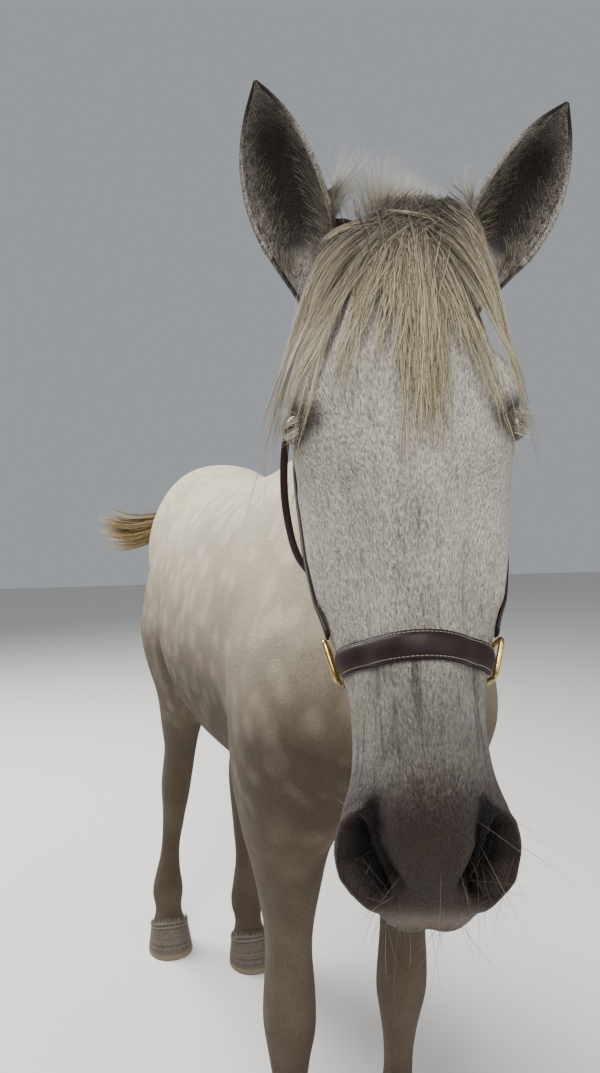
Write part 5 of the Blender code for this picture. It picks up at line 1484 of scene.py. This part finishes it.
def bar(line, radius, sides=14, closed=True, flat=None):
    """Round metal bar carried along a line: line + radius * (cos(turn) * out + sin(turn) * over)."""
    ahead = np.roll(line, -1, 0) - np.roll(line, 1, 0) if closed else np.gradient(line, axis=0)
    over = np.broadcast_to(unit(np.asarray(flat, float)), line.shape)
    out = unit(np.cross(ahead, over))
    turn = round_section(sides)[None, :, None]
    rings = line[:, None] + radius * (np.cos(turn) * out[:, None] + np.sin(turn) * over[:, None])
    faces = net(len(line), sides, True, not closed)
    if closed:
        faces = np.concatenate([faces, seam(len(line), sides)])
    return rings.reshape(-1, 3), faces


def square_ring(centre, axes, size, radius, steps=48):
    """A rounded square ring: a superellipse of round bar."""
    turn = round_section(steps)
    flat = signed_power(np.stack([np.cos(turn), np.sin(turn)], 1), RING_SQUARENESS) * np.array(size) / 2
    line = centre + flat[:, :1] * axes[0] + flat[:, 1:] * axes[1]
    return bar(line, radius, flat=axes[2])


def both_ways(route):
    """A route in the head's frame followed from its start on the right to its twin on the left."""
    other = [(-s, t, n) for s, t, n in route[::-1]]
    return list(route) + (other[1:] if route[-1][0] == 0.0 else other)


def ring_places():
    """The middle and the directions of the two side rings, laid on the cheeks."""
    found = []
    for side, sign in SIDES:
        place, out = drape(from_head(mirrored([RING_CENTRE], sign)))
        down = HEAD_AXES[1]
        long = unit(down - (down @ out[0]) * out[0])
        found.append((side, place[0] + RING_LIFT * out[0], (long, np.cross(out[0], long), out[0])))
    return found


def linear(colour):
    """An sRGB hex colour as linear red, green, blue and a full alpha."""
    values = np.array([int(colour[place:place + 2], 16) for place in (0, 2, 4)]) / 255
    low, high = values / 12.92, ((values + 0.055) / 1.055) ** 2.4
    return (*np.where(values <= 0.04045, low, high).tolist(), 1.0)


def set_inputs(node, links):
    """Sets each of a node's inputs, by name or number, to a value, or links it to an output or to the
    output in use of another node."""
    for place, value in links.items():
        if isinstance(value, bpy.types.Node):
            value = next(output for output in value.outputs if output.enabled)
        if isinstance(value, bpy.types.NodeSocket):
            node.id_data.links.new(value, node.inputs[place])
        else:
            node.inputs[place].default_value = value


def add_node(tree, kind, settings=None, links=None):
    """Adds a shader node with its settings to a tree, and sets or links its inputs.

    By number, a Mix has its factor at 0 and its two sides at 2 and 3 for numbers, 4 and 5 for
    vectors, 6 and 7 for colours. A Map Range reads from 1 to 2 and gives from 3 to 4, or 0 to 1.
    """
    node = tree.nodes.new("ShaderNode" + kind)
    for setting, value in (settings or {}).items():
        setattr(node, setting, value)
    set_inputs(node, links or {})
    return node


def new_material(name, links):
    """A material whose Principled shader has the given inputs, what adds a node to it, and the shader."""
    material = bpy.data.materials.new(name)
    material.use_nodes = True
    shader = material.node_tree.nodes["Principled BSDF"]
    set_inputs(shader, links)
    return material, partial(add_node, material.node_tree), shader


def lie_turn(lie):
    """The turn whose second axis is the lie of the hair, for a pattern drawn out along it."""
    lie = Vector(lie).normalized()
    side = lie.cross(Vector((0.31, 0.17, 0.93))).normalized()
    return Matrix((side, lie, side.cross(lie))).transposed().to_euler()


def hair_rows(add, place, head, leg):
    """Noise drawn out along the lie of the hair, at four scales: hairs, locks, flecks and fine dark lines."""
    found = []
    for pitch, detail, stretch in (
        (HAIR_PITCH, 2.0, 3.4), (LOCK_PITCH, 2.0, 3.0), (FLECK_PITCH, 2.0, 1.5), (VEIN_PITCH, 1.0, 9.0),
    ):
        lying = []
        for lie in (TRUNK_LIE, LEG_LIE, HEAD_AXES[1]):
            turned = add("Mapping", {"vector_type": "TEXTURE"}, {
                "Vector": place, "Rotation": lie_turn(lie), "Scale": (1.0, stretch, 1.0)})
            lying.append(add("TexNoise", {}, {
                "Vector": turned, "Scale": 1.0 / pitch, "Detail": detail, "Roughness": 0.6}))
        body = add("Mix", {}, {0: leg, 2: lying[0], 3: lying[1]})
        found.append(add("Mix", {}, {0: head, 2: body, 3: lying[2]}))
    return found


def horse_coat():
    """Short grey horse hair over dark skin: a flat coat with a soft sheen, white hairs mixed with dark ones
    that lie in fine rows, dapples on the body, flecks on the face and bare dark skin at the muzzle, with
    painted shade in the eye sockets, the nostril pits and the mouth's crease, and painted light and shade in
    the body's grey."""
    sizes = bpy.context.scene.percheron
    material, add, shader = new_material("short horse hair, dapple grey", {
        "IOR": 1.45, "Sheen Weight": 0.05, "Sheen Roughness": 0.4, "Specular IOR Level": 0.22})
    place = add("TexCoord").outputs["Object"]
    marks = {name: add("Attribute", {"attribute_name": name}).outputs["Fac"] for name in COAT_MARKS}
    head, greyed = marks["head"], marks["grey"]
    hair, rows, fleck, vein = hair_rows(add, place, head, marks["leg"])

    warp = add("TexNoise", {}, {"Vector": place, "Scale": 9.0, "Detail": 2.0}).outputs["Color"]
    bent = add("Mix", {"data_type": "VECTOR"}, {0: 0.06, 4: place, 5: warp})
    spots = add("TexVoronoi", {"feature": "SMOOTH_F1"}, {
        "Vector": bent, "Scale": 1.0 / DAPPLE_PITCH, "Smoothness": 0.7})
    dapple = add("MapRange", SOFTLY, {"Value": spots, 1: 0.15, 2: 0.60})
    cloud = add("TexNoise", {}, {"Vector": place, "Scale": 4.0, "Detail": 3.0})

    # Grey grows with the region, the dapples' net and slow clouds, all around the region's own share
    size = add("MapRange", {}, {"Value": marks["leg"], 3: 0.22, 4: 0.04})
    threads = add("Math", {"operation": "SUBTRACT"}, {0: dapple, 1: 0.55})
    net_grey = add("Math", TIMES, {0: threads, 1: size})
    cloud_grey = add("Math", TIMES_PLUS, {0: cloud, 1: 0.62, 2: -0.31})
    both = add("Math", {}, {0: net_grey, 1: cloud_grey})
    lines = add("MapRange", {}, {"Value": vein, 1: 0.56, 2: 0.70, 3: 0.0, 4: 0.32})
    lined = add("Math", TIMES_PLUS, {0: lines, 1: head, 2: greyed})
    broken = add("MapRange", {}, {"Value": greyed, 1: 0.2, 2: 0.95, 3: 1.1, 4: 0.40})
    amount = add("Math", {"operation": "MULTIPLY_ADD", "use_clamp": True}, {0: both, 1: broken, 2: lined})
    # The grey mark carries painted light and shade too: paler along the top of the body, greyer down its
    # sides
    coat = add("Mix", OF_COLOURS, {0: amount, 6: linear(sizes.coat_pale), 7: linear(sizes.coat_grey)})
    front = add("Mix", OF_COLOURS, {0: amount, 6: linear(sizes.face_pale), 7: linear(sizes.face_grey)})

    # Dark hairs show between the white ones, and gather in flecks
    many = add("MapRange", {}, {"Value": head, 3: 0.34, 4: 0.54})
    dark_hair = add("MapRange", {}, {"Value": hair, 1: 0.38, 2: 0.68, 3: 0.0, 4: many})
    spread = add("MapRange", {}, {"Value": fleck, 1: 0.48, 2: 0.68, 3: 0.0, 4: 0.85})
    gathered = add("Math", TIMES, {0: spread, 1: marks["flecks"]})
    specks = add("Math", {"operation": "MAXIMUM"}, {0: dark_hair, 1: gathered})
    light_hair = add("MapRange", {}, {"Value": hair, 1: 0.46, 2: 0.34, 3: 0.0, 4: 0.18})
    fair = add("MapRange", {}, {"Value": greyed, 1: 0.1, 2: 0.8, 3: 1.0, 4: 0.10})
    light_hair = add("Math", TIMES, {0: light_hair, 1: fair})

    # The muzzle's bare skin shows through thinning hair, so its edge is broken by the same noise
    thin = add("Math", TIMES_PLUS, {0: hair, 1: 0.3, 2: -0.15})
    edge = add("Math", {"operation": "ADD"}, {0: thin, 1: marks["muzzle"]})
    bare = add("MapRange", SOFTLY, {"Value": edge, 1: 0.20, 2: 0.95, 3: 0.0, 4: 0.93})
    skin = add("Mix", OF_COLOURS, {0: rows, 6: linear(sizes.muzzle), 7: linear(sizes.muzzle_warm)})

    # The coat is laid down in layers, each with its share and its colour
    layers = [(marks["face"], front), (specks, linear(sizes.dark_hair)), (light_hair, linear(LIGHT_HAIR)),
              (bare, skin)]
    # Among these regions the eye's is dark lid skin with painted shade over the socket, and the near-black
    # one is painted shade in the nostril pits and along the mouth's crease
    for region, colour, strength in DARK_REGIONS:
        layers.append((add("Math", TIMES, {0: marks[region], 1: strength}), linear(colour)))
    for share, colour in layers:
        coat = add("Mix", OF_COLOURS, {0: share, 6: coat, 7: colour})
    rough = add("MapRange", {}, {"Value": bare, 1: 0.0, 2: 1.0, 3: 0.78, 4: 0.55})
    lying = add("Bump", {}, {"Strength": 1.0, "Distance": 0.0060, "Height": hair})
    wavy = add("Bump", {}, {"Strength": 0.50, "Distance": 0.006, "Height": rows, "Normal": lying})
    set_inputs(shader, {"Base Color": coat, "Roughness": rough, "Normal": wavy})
    return material


def long_hair(name, root, middle, tip):
    """Coarse horse hair: a smooth round fibre with a long soft glint, darker and greyer at its root."""
    material, add, shader = new_material(name, {
        "Roughness": 0.45, "IOR": 1.55, "Specular IOR Level": 0.30})
    along, tone = (add("Attribute", {"attribute_name": name}).outputs["Fac"] for name in ("along", "tone"))
    ramp = add("ValToRGB", {}, {0: along})
    points = ramp.color_ramp.elements
    points[0].color, points[1].color = linear(root), linear(tip)
    points.new(0.38).color = linear(middle)
    greyness = add("MapRange", {}, {"Value": tone, 1: 0.0, 2: 0.5, 3: 0.75, 4: 0.0})
    mixed = add("Mix", OF_COLOURS, {0: greyness, 6: ramp, 7: linear(root)})
    shade = add("MapRange", {}, {"Value": tone, 1: 0.0, 2: 1.0, 3: 0.36, 4: 1.30})
    set_inputs(shader, {"Base Color": add("HueSaturation", {}, {"Value": shade, "Color": mixed})})
    return material


def hoof_horn():
    """Hoof horn: dull grey-brown keratin, streaked down the wall, with worn paler growth rings."""
    sizes = bpy.context.scene.percheron
    material, add, shader = new_material("hoof horn, dull and streaked", {
        "IOR": 1.54, "Specular IOR Level": 0.35})
    place = add("TexCoord").outputs["Object"]
    along = add("Attribute", {"attribute_name": "along"}).outputs["Fac"]
    drawn = add("Mapping", {"vector_type": "TEXTURE"}, {"Vector": place, "Scale": (1, 1, 14)})
    streaks = add("TexNoise", {}, {"Vector": drawn, "Scale": 260.0, "Detail": 3.0})
    rings = add("TexNoise", {"noise_dimensions": "1D"}, {"W": along, "Scale": 16.0, "Detail": 2.0})
    mixed = add("Math", TIMES_PLUS, {0: streaks, 1: 0.6, 2: rings})
    pale = add("MapRange", {}, {"Value": mixed, 1: 0.55, 2: 1.05})
    colour = add("Mix", OF_COLOURS, {0: pale, 6: linear(sizes.hoof_dark), 7: linear(sizes.hoof_pale)})
    dust = add("MapRange", SOFTLY, {"Value": along, 1: 0.22, 2: 0.0, 3: 0.0, 4: 0.6})
    dusty = add("Mix", OF_COLOURS, {0: dust, 6: colour, 7: linear("85775F")})
    rough = add("MapRange", {}, {"Value": mixed, 1: 0.4, 2: 1.1, 3: 0.5, 4: 0.72})
    bump = add("Bump", {}, {"Strength": 0.5, "Distance": 0.0012, "Height": mixed})
    set_inputs(shader, {"Base Color": dusty, "Roughness": rough, "Normal": bump})
    return material


def wet_eye():
    """A horse's eye: a wet cornea over a dark brown iris with a long level pupil, and a dull white rim."""
    material, add, shader = new_material("wet eye, dark brown iris", {
        "Roughness": 0.04, "IOR": 1.38, "Coat Weight": 1.0, "Coat Roughness": 0.02})
    long, high, gaze = (add("Attribute", {"attribute_name": name}).outputs["Fac"]
                        for name in ("long", "high", "gaze"))
    wide, tall = (add("Math", TIMES, {0: side, 1: 1 / size}) for side, size in zip((long, high), PUPIL))
    flat = add("CombineXYZ", {}, {0: wide, 1: tall})
    reach = add("VectorMath", {"operation": "LENGTH"}, {0: flat})
    iris = add("MapRange", {}, {"Value": reach, 1: 0.92, 2: 1.05})
    threads = add("TexNoise", {}, {"Vector": flat, "Scale": 9.0, "Detail": 3.0})
    brown = add("Mix", OF_COLOURS, {0: threads, 6: linear("1E110B"), 7: linear("4A2C1A")})
    inner = add("Mix", OF_COLOURS, {0: iris, 6: linear("04040A"), 7: brown})
    rim = IRIS_ANGLE / math.pi
    white = add("MapRange", SOFTLY, {"Value": gaze, 1: rim - IRIS_EDGE, 2: rim + IRIS_EDGE})
    set_inputs(shader, {"Base Color": add("Mix", OF_COLOURS, {0: white, 6: inner, 7: linear("3B2A24")})})
    return material


def bridle_leather():
    """Bridle leather: vegetable-tanned, waxed and rubbed, burgundy brown, with fine pores, darker cut edges
    and creases across the strap where it bends."""
    sizes = bpy.context.scene.percheron
    material, add, shader = new_material("bridle leather, waxed burgundy brown", {
        "IOR": 1.48, "Specular IOR Level": 0.28})
    place = add("TexCoord").outputs["Object"]
    along, across = (add("Attribute", {"attribute_name": name}).outputs["Fac"]
                     for name in ("along", "across"))
    grain = add("TexVoronoi", {"feature": "DISTANCE_TO_EDGE"}, {
        "Vector": place, "Scale": 1.0 / LEATHER_GRAIN})
    wear = add("TexNoise", {}, {"Vector": place, "Scale": 60.0, "Detail": 4.0})
    drawn = add("CombineXYZ", {}, {0: along, 1: across})
    thinner = add("Mapping", {}, {"Vector": drawn, "Scale": (1.0, 0.15, 1.0)})
    crease = add("TexNoise", {}, {"Vector": thinner, "Scale": 900.0, "Detail": 2.0})
    colour = add("Mix", OF_COLOURS, {0: wear, 6: linear(sizes.leather_dark), 7: linear(sizes.leather)})
    edge = add("Math", {"operation": "ABSOLUTE"}, {0: across})
    cut = add("MapRange", SOFTLY, {"Value": edge, 1: 0.0080, 2: 0.0092, 3: 0.0, 4: 0.55})
    colour = add("Mix", OF_COLOURS, {0: cut, 6: colour, 7: linear("1C100D")})
    rough = add("MapRange", {}, {"Value": wear, 1: 0.3, 2: 0.7, 3: 0.48, 4: 0.66})
    pores = add("Bump", {}, {"Strength": 0.25, "Distance": 0.0004, "Height": grain})
    creases = add("Bump", {}, {"Strength": 0.25, "Distance": 0.0006, "Height": crease, "Normal": pores})
    set_inputs(shader, {"Base Color": colour, "Roughness": rough, "Normal": creases})
    return material


def waxed_thread():
    """Waxed linen thread, off-white, twisted, a little soiled."""
    material, add, shader = new_material("waxed linen thread, off-white", {"Roughness": 0.6, "IOR": 1.5})
    place = add("TexCoord").outputs["Object"]
    soil = add("TexNoise", {}, {"Vector": place, "Scale": 300.0, "Detail": 2.0})
    colour = add("Mix", OF_COLOURS, {0: soil, 6: linear("6E6455"), 7: linear("A79C8A")})
    set_inputs(shader, {"Base Color": colour})
    return material


def cast_brass():
    """Cast and polished brass, its shine dulled by fine scratches and a brown film in patches."""
    sizes = bpy.context.scene.percheron
    material, add, shader = new_material("cast brass, polished and worn", {"Metallic": 1.0})
    place = add("TexCoord").outputs["Object"]
    film = add("TexNoise", {}, {"Vector": place, "Scale": 180.0, "Detail": 4.0})
    share = add("MapRange", {}, {"Value": film, 1: 0.45, 2: 0.70, 3: 0.0, 4: 0.7})
    colour = add("Mix", OF_COLOURS, {0: share, 6: linear(sizes.brass), 7: linear("8A6B3A")})
    rough = add("MapRange", {}, {"Value": film, 1: 0.3, 2: 0.7, 3: 0.18, 4: 0.42})
    bump = add("Bump", {}, {"Strength": 0.15, "Distance": 0.0003, "Height": film})
    set_inputs(shader, {"Base Color": colour, "Roughness": rough, "Normal": bump})
    return material


def colour_property(name, meaning, default):
    """A setting for the colour of a part of the horse."""
    return bpy.props.StringProperty(name=name, description=f"{meaning}, as sRGB hex", default=default)


class PercheronSettings(bpy.types.PropertyGroup):
    """Sizes and colours of the horse and its stage that a user would change."""

    coat_pale: colour_property("Pale coat", "Colour of the pale body coat", "EEDFC0")
    coat_grey: colour_property("Grey coat", "Colour of the grey of flank and legs", "4F4131")
    face_pale: colour_property("Pale face", "Colour of the pale face", "BDB5A9")
    face_grey: colour_property("Grey face", "Colour of the face's grey", "5A544F")
    dark_hair: colour_property("Dark hairs", "Colour of the dark hairs and flecks", "2F2927")
    muzzle: colour_property("Muzzle", "Colour of the bare skin of the muzzle", "1A110D")
    muzzle_warm: colour_property("Warm muzzle", "Colour of the paler muzzle skin", "33231A")
    hair_root: colour_property("Hair root", "Colour of mane and forelock at the root", "57514A")
    hair_middle: colour_property("Hair", "Colour of mane and forelock", "9A8D74")
    hair_tip: colour_property("Hair tip", "Colour of mane and forelock at the tip", "CDBE9A")
    tail_middle: colour_property("Tail", "Colour of the tail", "A2875A")
    hoof_dark: colour_property("Dark horn", "Dark colour of the hooves", "332D28")
    hoof_pale: colour_property("Pale horn", "Pale colour of the hooves", "6B6054")
    leather: colour_property("Leather", "Colour of the halter's leather", "260E0E")
    leather_dark: colour_property("Dark leather", "Colour of the leather where it is rubbed dark", "130707")
    brass: colour_property("Brass", "Colour of the halter's brass", "B79C60")
    floor_size: bpy.props.FloatProperty(
        name="Floor", description="Side of the stage's floor", default=30.0, min=5.0, unit="LENGTH")
    camera_height: bpy.props.FloatProperty(
        name="Eye level", description="Height of the camera over the floor", default=1.50, min=0.2,
        unit="LENGTH")


def place_piece(body, material, slot, *nodes):
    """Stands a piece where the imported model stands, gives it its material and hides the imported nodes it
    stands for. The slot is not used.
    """
    set_coordinates(body, coordinates(body) + STAND)
    body.data.materials.clear()
    body.data.materials.append(material)
    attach(body, "root")
    if nodes:
        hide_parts(*nodes)


def coat_material():
    """The coat's material, made once and shared by the skin and its short hair."""
    return bpy.data.materials.get("short horse hair, dapple grey") or horse_coat()


class HORSE_OT_skin(bpy.types.Operator):
    """Makes the skin with its face, ears and lids in one piece"""

    bl_idname = "horse.skin"
    bl_label = "Skin"

    def execute(self, context):
        skin = skin_mesh()
        skin.data.materials.append(coat_material())
        return {"FINISHED"}


class HORSE_OT_eyes(bpy.types.Operator):
    """Makes the two eyeballs"""

    bl_idname = "horse.eyes"
    bl_label = "Eyes"

    def execute(self, context):
        material = wet_eye()
        for side, sign in SIDES:
            body = add_mesh(f"eyeball_{side}", *eyeball(sign))
            place_piece(body, material, "eye", f"eye_{side}")
        return {"FINISHED"}


class HORSE_OT_hooves(bpy.types.Operator):
    """Makes the four hooves and the hair over their crowns"""

    bl_idname = "horse.hooves"
    bl_label = "Hooves"

    def execute(self, context):
        material = hoof_horn()
        for end, middle_y, sizes, feet in HOOVES:
            for side, sign in SIDES:
                body = hoof(f"horn_{end}_{side}", sign, feet[side], middle_y, sizes)
                place_piece(body, material, "hoof", f"hoof_{end}_{side}")
        crown = add_mesh("crown_hair", *crown_hair())
        place_piece(crown, long_hair("short leg hair, grey", "544B41", "7A7063", "9A8F7F"), "coat")
        return {"FINISHED"}


class HORSE_OT_long_hair(bpy.types.Operator):
    """Makes the forelock, the hair of the poll, the mane and the tail"""

    bl_idname = "horse.long_hair"
    bl_label = "Long hair"

    def execute(self, context):
        sizes = context.scene.percheron
        cream = long_hair("mane hair, cream", sizes.hair_root, sizes.hair_middle, sizes.hair_tip)
        tan = long_hair("tail hair, tan", "8D8068", sizes.tail_middle, "BCA26F")
        grey = long_hair("poll hair, grey", "544C42", "968C76", "C0B494")
        for name, made, material in (
            ("forelock", forelock(FORELOCK_SHEETS, HAIR_SEED), cream),
            ("forelock_fringe", forelock(FRINGE_SHEETS, HAIR_SEED + 8), cream),
            ("whorl_hair", whorl(), cream), ("poll_tuft", poll_tuft(), grey), ("mane", mane(), cream),
            ("tail_hair", tail(), tan),
        ):
            place_piece(add_mesh(name, *made), material, "coat")
        return {"FINISHED"}


class HORSE_OT_short_hair(bpy.types.Operator):
    """Makes the tufts of the coat, the ears' fringe, the lashes and the whiskers"""

    bl_idname = "horse.short_hair"
    bl_label = "Short hair"

    def execute(self, context):
        cream = long_hair("ear hair, cream and brown", "241B16", "5F5447", "9A8E79")
        pale = long_hair("lashes, cream", "B7AB92", "CFC4A8", "DED3B8")
        dark = long_hair("whiskers, dark to horn", "3A322D", "7A6E5E", "A89A7C")
        for name, made, material in (
            ("head_tufts", coat_fringe(HEAD_TUFTS, True), coat_material()),
            ("body_tufts", coat_fringe(BODY_TUFTS, False), coat_material()),
            ("ear_hair", ear_fringe(), cream), ("lashes", lashes(), pale), ("whiskers", whiskers(), dark),
        ):
            place_piece(add_mesh(name, *made), material, "coat")
        return {"FINISHED"}


class HORSE_OT_halter(bpy.types.Operator):
    """Makes the halter's straps, stitching and brass"""

    bl_idname = "horse.halter"
    bl_label = "Halter"

    def execute(self, context):
        leather, thread, brass = bridle_leather(), waxed_thread(), cast_brass()
        rows = []
        for name, route, width, thickness, steps in STRAPS:
            made, lines = strap(both_ways(route), width, thickness, steps)
            place_piece(add_mesh(f"{name}_strap", *made), leather, "halter_leather", f"halter_{name}")
            rows += lines
        throat, _ = lay(path(from_head(both_ways(THROAT_ROUTE)), 160), THROAT_STRAP_RADIUS)
        cord = bar(throat, THROAT_STRAP_RADIUS, 16, closed=False, flat=HEAD_AXES[1])
        place_piece(add_mesh("throat_strap", *cord), leather, "halter_leather", "halter_throat")
        place_piece(add_mesh("stitching", *stitches(rows)), thread, "halter_leather")
        for side, centre, axes in ring_places():
            body = add_mesh(f"brass_ring_{side}", *square_ring(centre, axes, RING_SIZE, RING_RADIUS))
            place_piece(body, brass, "halter_brass", f"halter_ring_{side}")
        return {"FINISHED"}


class HORSE_OT_stage(bpy.types.Operator):
    """Makes the floor, the soft light and the camera at the photograph's angle"""

    bl_idname = "horse.stage"
    bl_label = "Stage"

    def execute(self, context):
        settings = context.scene.percheron
        half = settings.floor_size / 2
        corners = np.array(((-half, -half, 0), (half, -half, 0), (half, half, 0), (-half, half, 0)), float)
        floor = add_mesh("floor", corners, np.array(((0, 1, 2), (0, 2, 3))), turn_out=False)
        paper = new_material("matt paper floor", {"Base Color": linear(FLOOR_COLOUR), "Roughness": 0.9})
        floor.data.materials.append(paper[0])

        world = bpy.data.worlds.new("soft room")
        world.use_nodes = True
        room = {"Color": linear(ROOM_COLOUR), "Strength": ROOM_STRENGTH}
        set_inputs(world.node_tree.nodes["Background"], room)
        context.scene.world = world
        for name, place, aim, size, power in LAMPS:
            light = bpy.data.lights.new(name, "AREA")
            light.shape, light.size, light.energy = "DISK", size, power
            lamp = add_object(name, light)
            lamp.location = Vector(place) + Vector(STAND)
            lamp.rotation_euler = (Vector(aim) - Vector(place)).to_track_quat("-Z", "Y").to_euler()

        lens = bpy.data.cameras.new("camera")
        lens.lens, lens.sensor_width, lens.clip_end = CAMERA_LENS, CAMERA_SENSOR, CAMERA_END
        camera = add_object("camera", lens)
        camera.location = Vector((*CAMERA_PLACE, settings.camera_height)) + Vector(STAND)
        camera.rotation_euler = Euler((math.pi / 2 - CAMERA_PITCH, 0.0, -CAMERA_YAW))
        context.scene.camera = camera
        return {"FINISHED"}


class HORSE_OT_place_skin(bpy.types.Operator):
    """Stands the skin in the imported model's place, once all that lies on it is made"""

    bl_idname = "horse.place_skin"
    bl_label = "Place the skin"

    def execute(self, context):
        place_piece(bpy.data.objects["skin"], coat_material(), "coat", *FLESH)
        return {"FINISHED"}


class HORSE_PT_panel(bpy.types.Panel):
    """Lists the horse's pieces and its settings"""

    bl_label = "Percheron"
    bl_idname = "HORSE_PT_panel"
    bl_space_type = "VIEW_3D"
    bl_region_type = "UI"
    bl_category = "Percheron"

    def draw(self, context):
        for operator in PIECES:
            self.layout.operator(operator.bl_idname)
        for name in PercheronSettings.__annotations__:
            self.layout.prop(context.scene.percheron, name)


PIECES = (HORSE_OT_skin, HORSE_OT_eyes, HORSE_OT_hooves, HORSE_OT_long_hair, HORSE_OT_short_hair,
          HORSE_OT_halter, HORSE_OT_place_skin, HORSE_OT_stage)


def register():
    """Registers the settings, the operators and the panel."""
    for kind in (PercheronSettings, *PIECES, HORSE_PT_panel):
        bpy.utils.register_class(kind)
    bpy.types.Scene.percheron = bpy.props.PointerProperty(type=PercheronSettings)


def unregister():
    """Takes them away again."""
    del bpy.types.Scene.percheron
    for kind in (HORSE_PT_panel, *reversed(PIECES), PercheronSettings):
        bpy.utils.unregister_class(kind)


def main():
    """Makes every piece in order."""
    register()
    for module, name in (kind.bl_idname.split(".") for kind in PIECES):
        getattr(getattr(bpy.ops, module), name)()


if __name__ == "__main__":
    main()
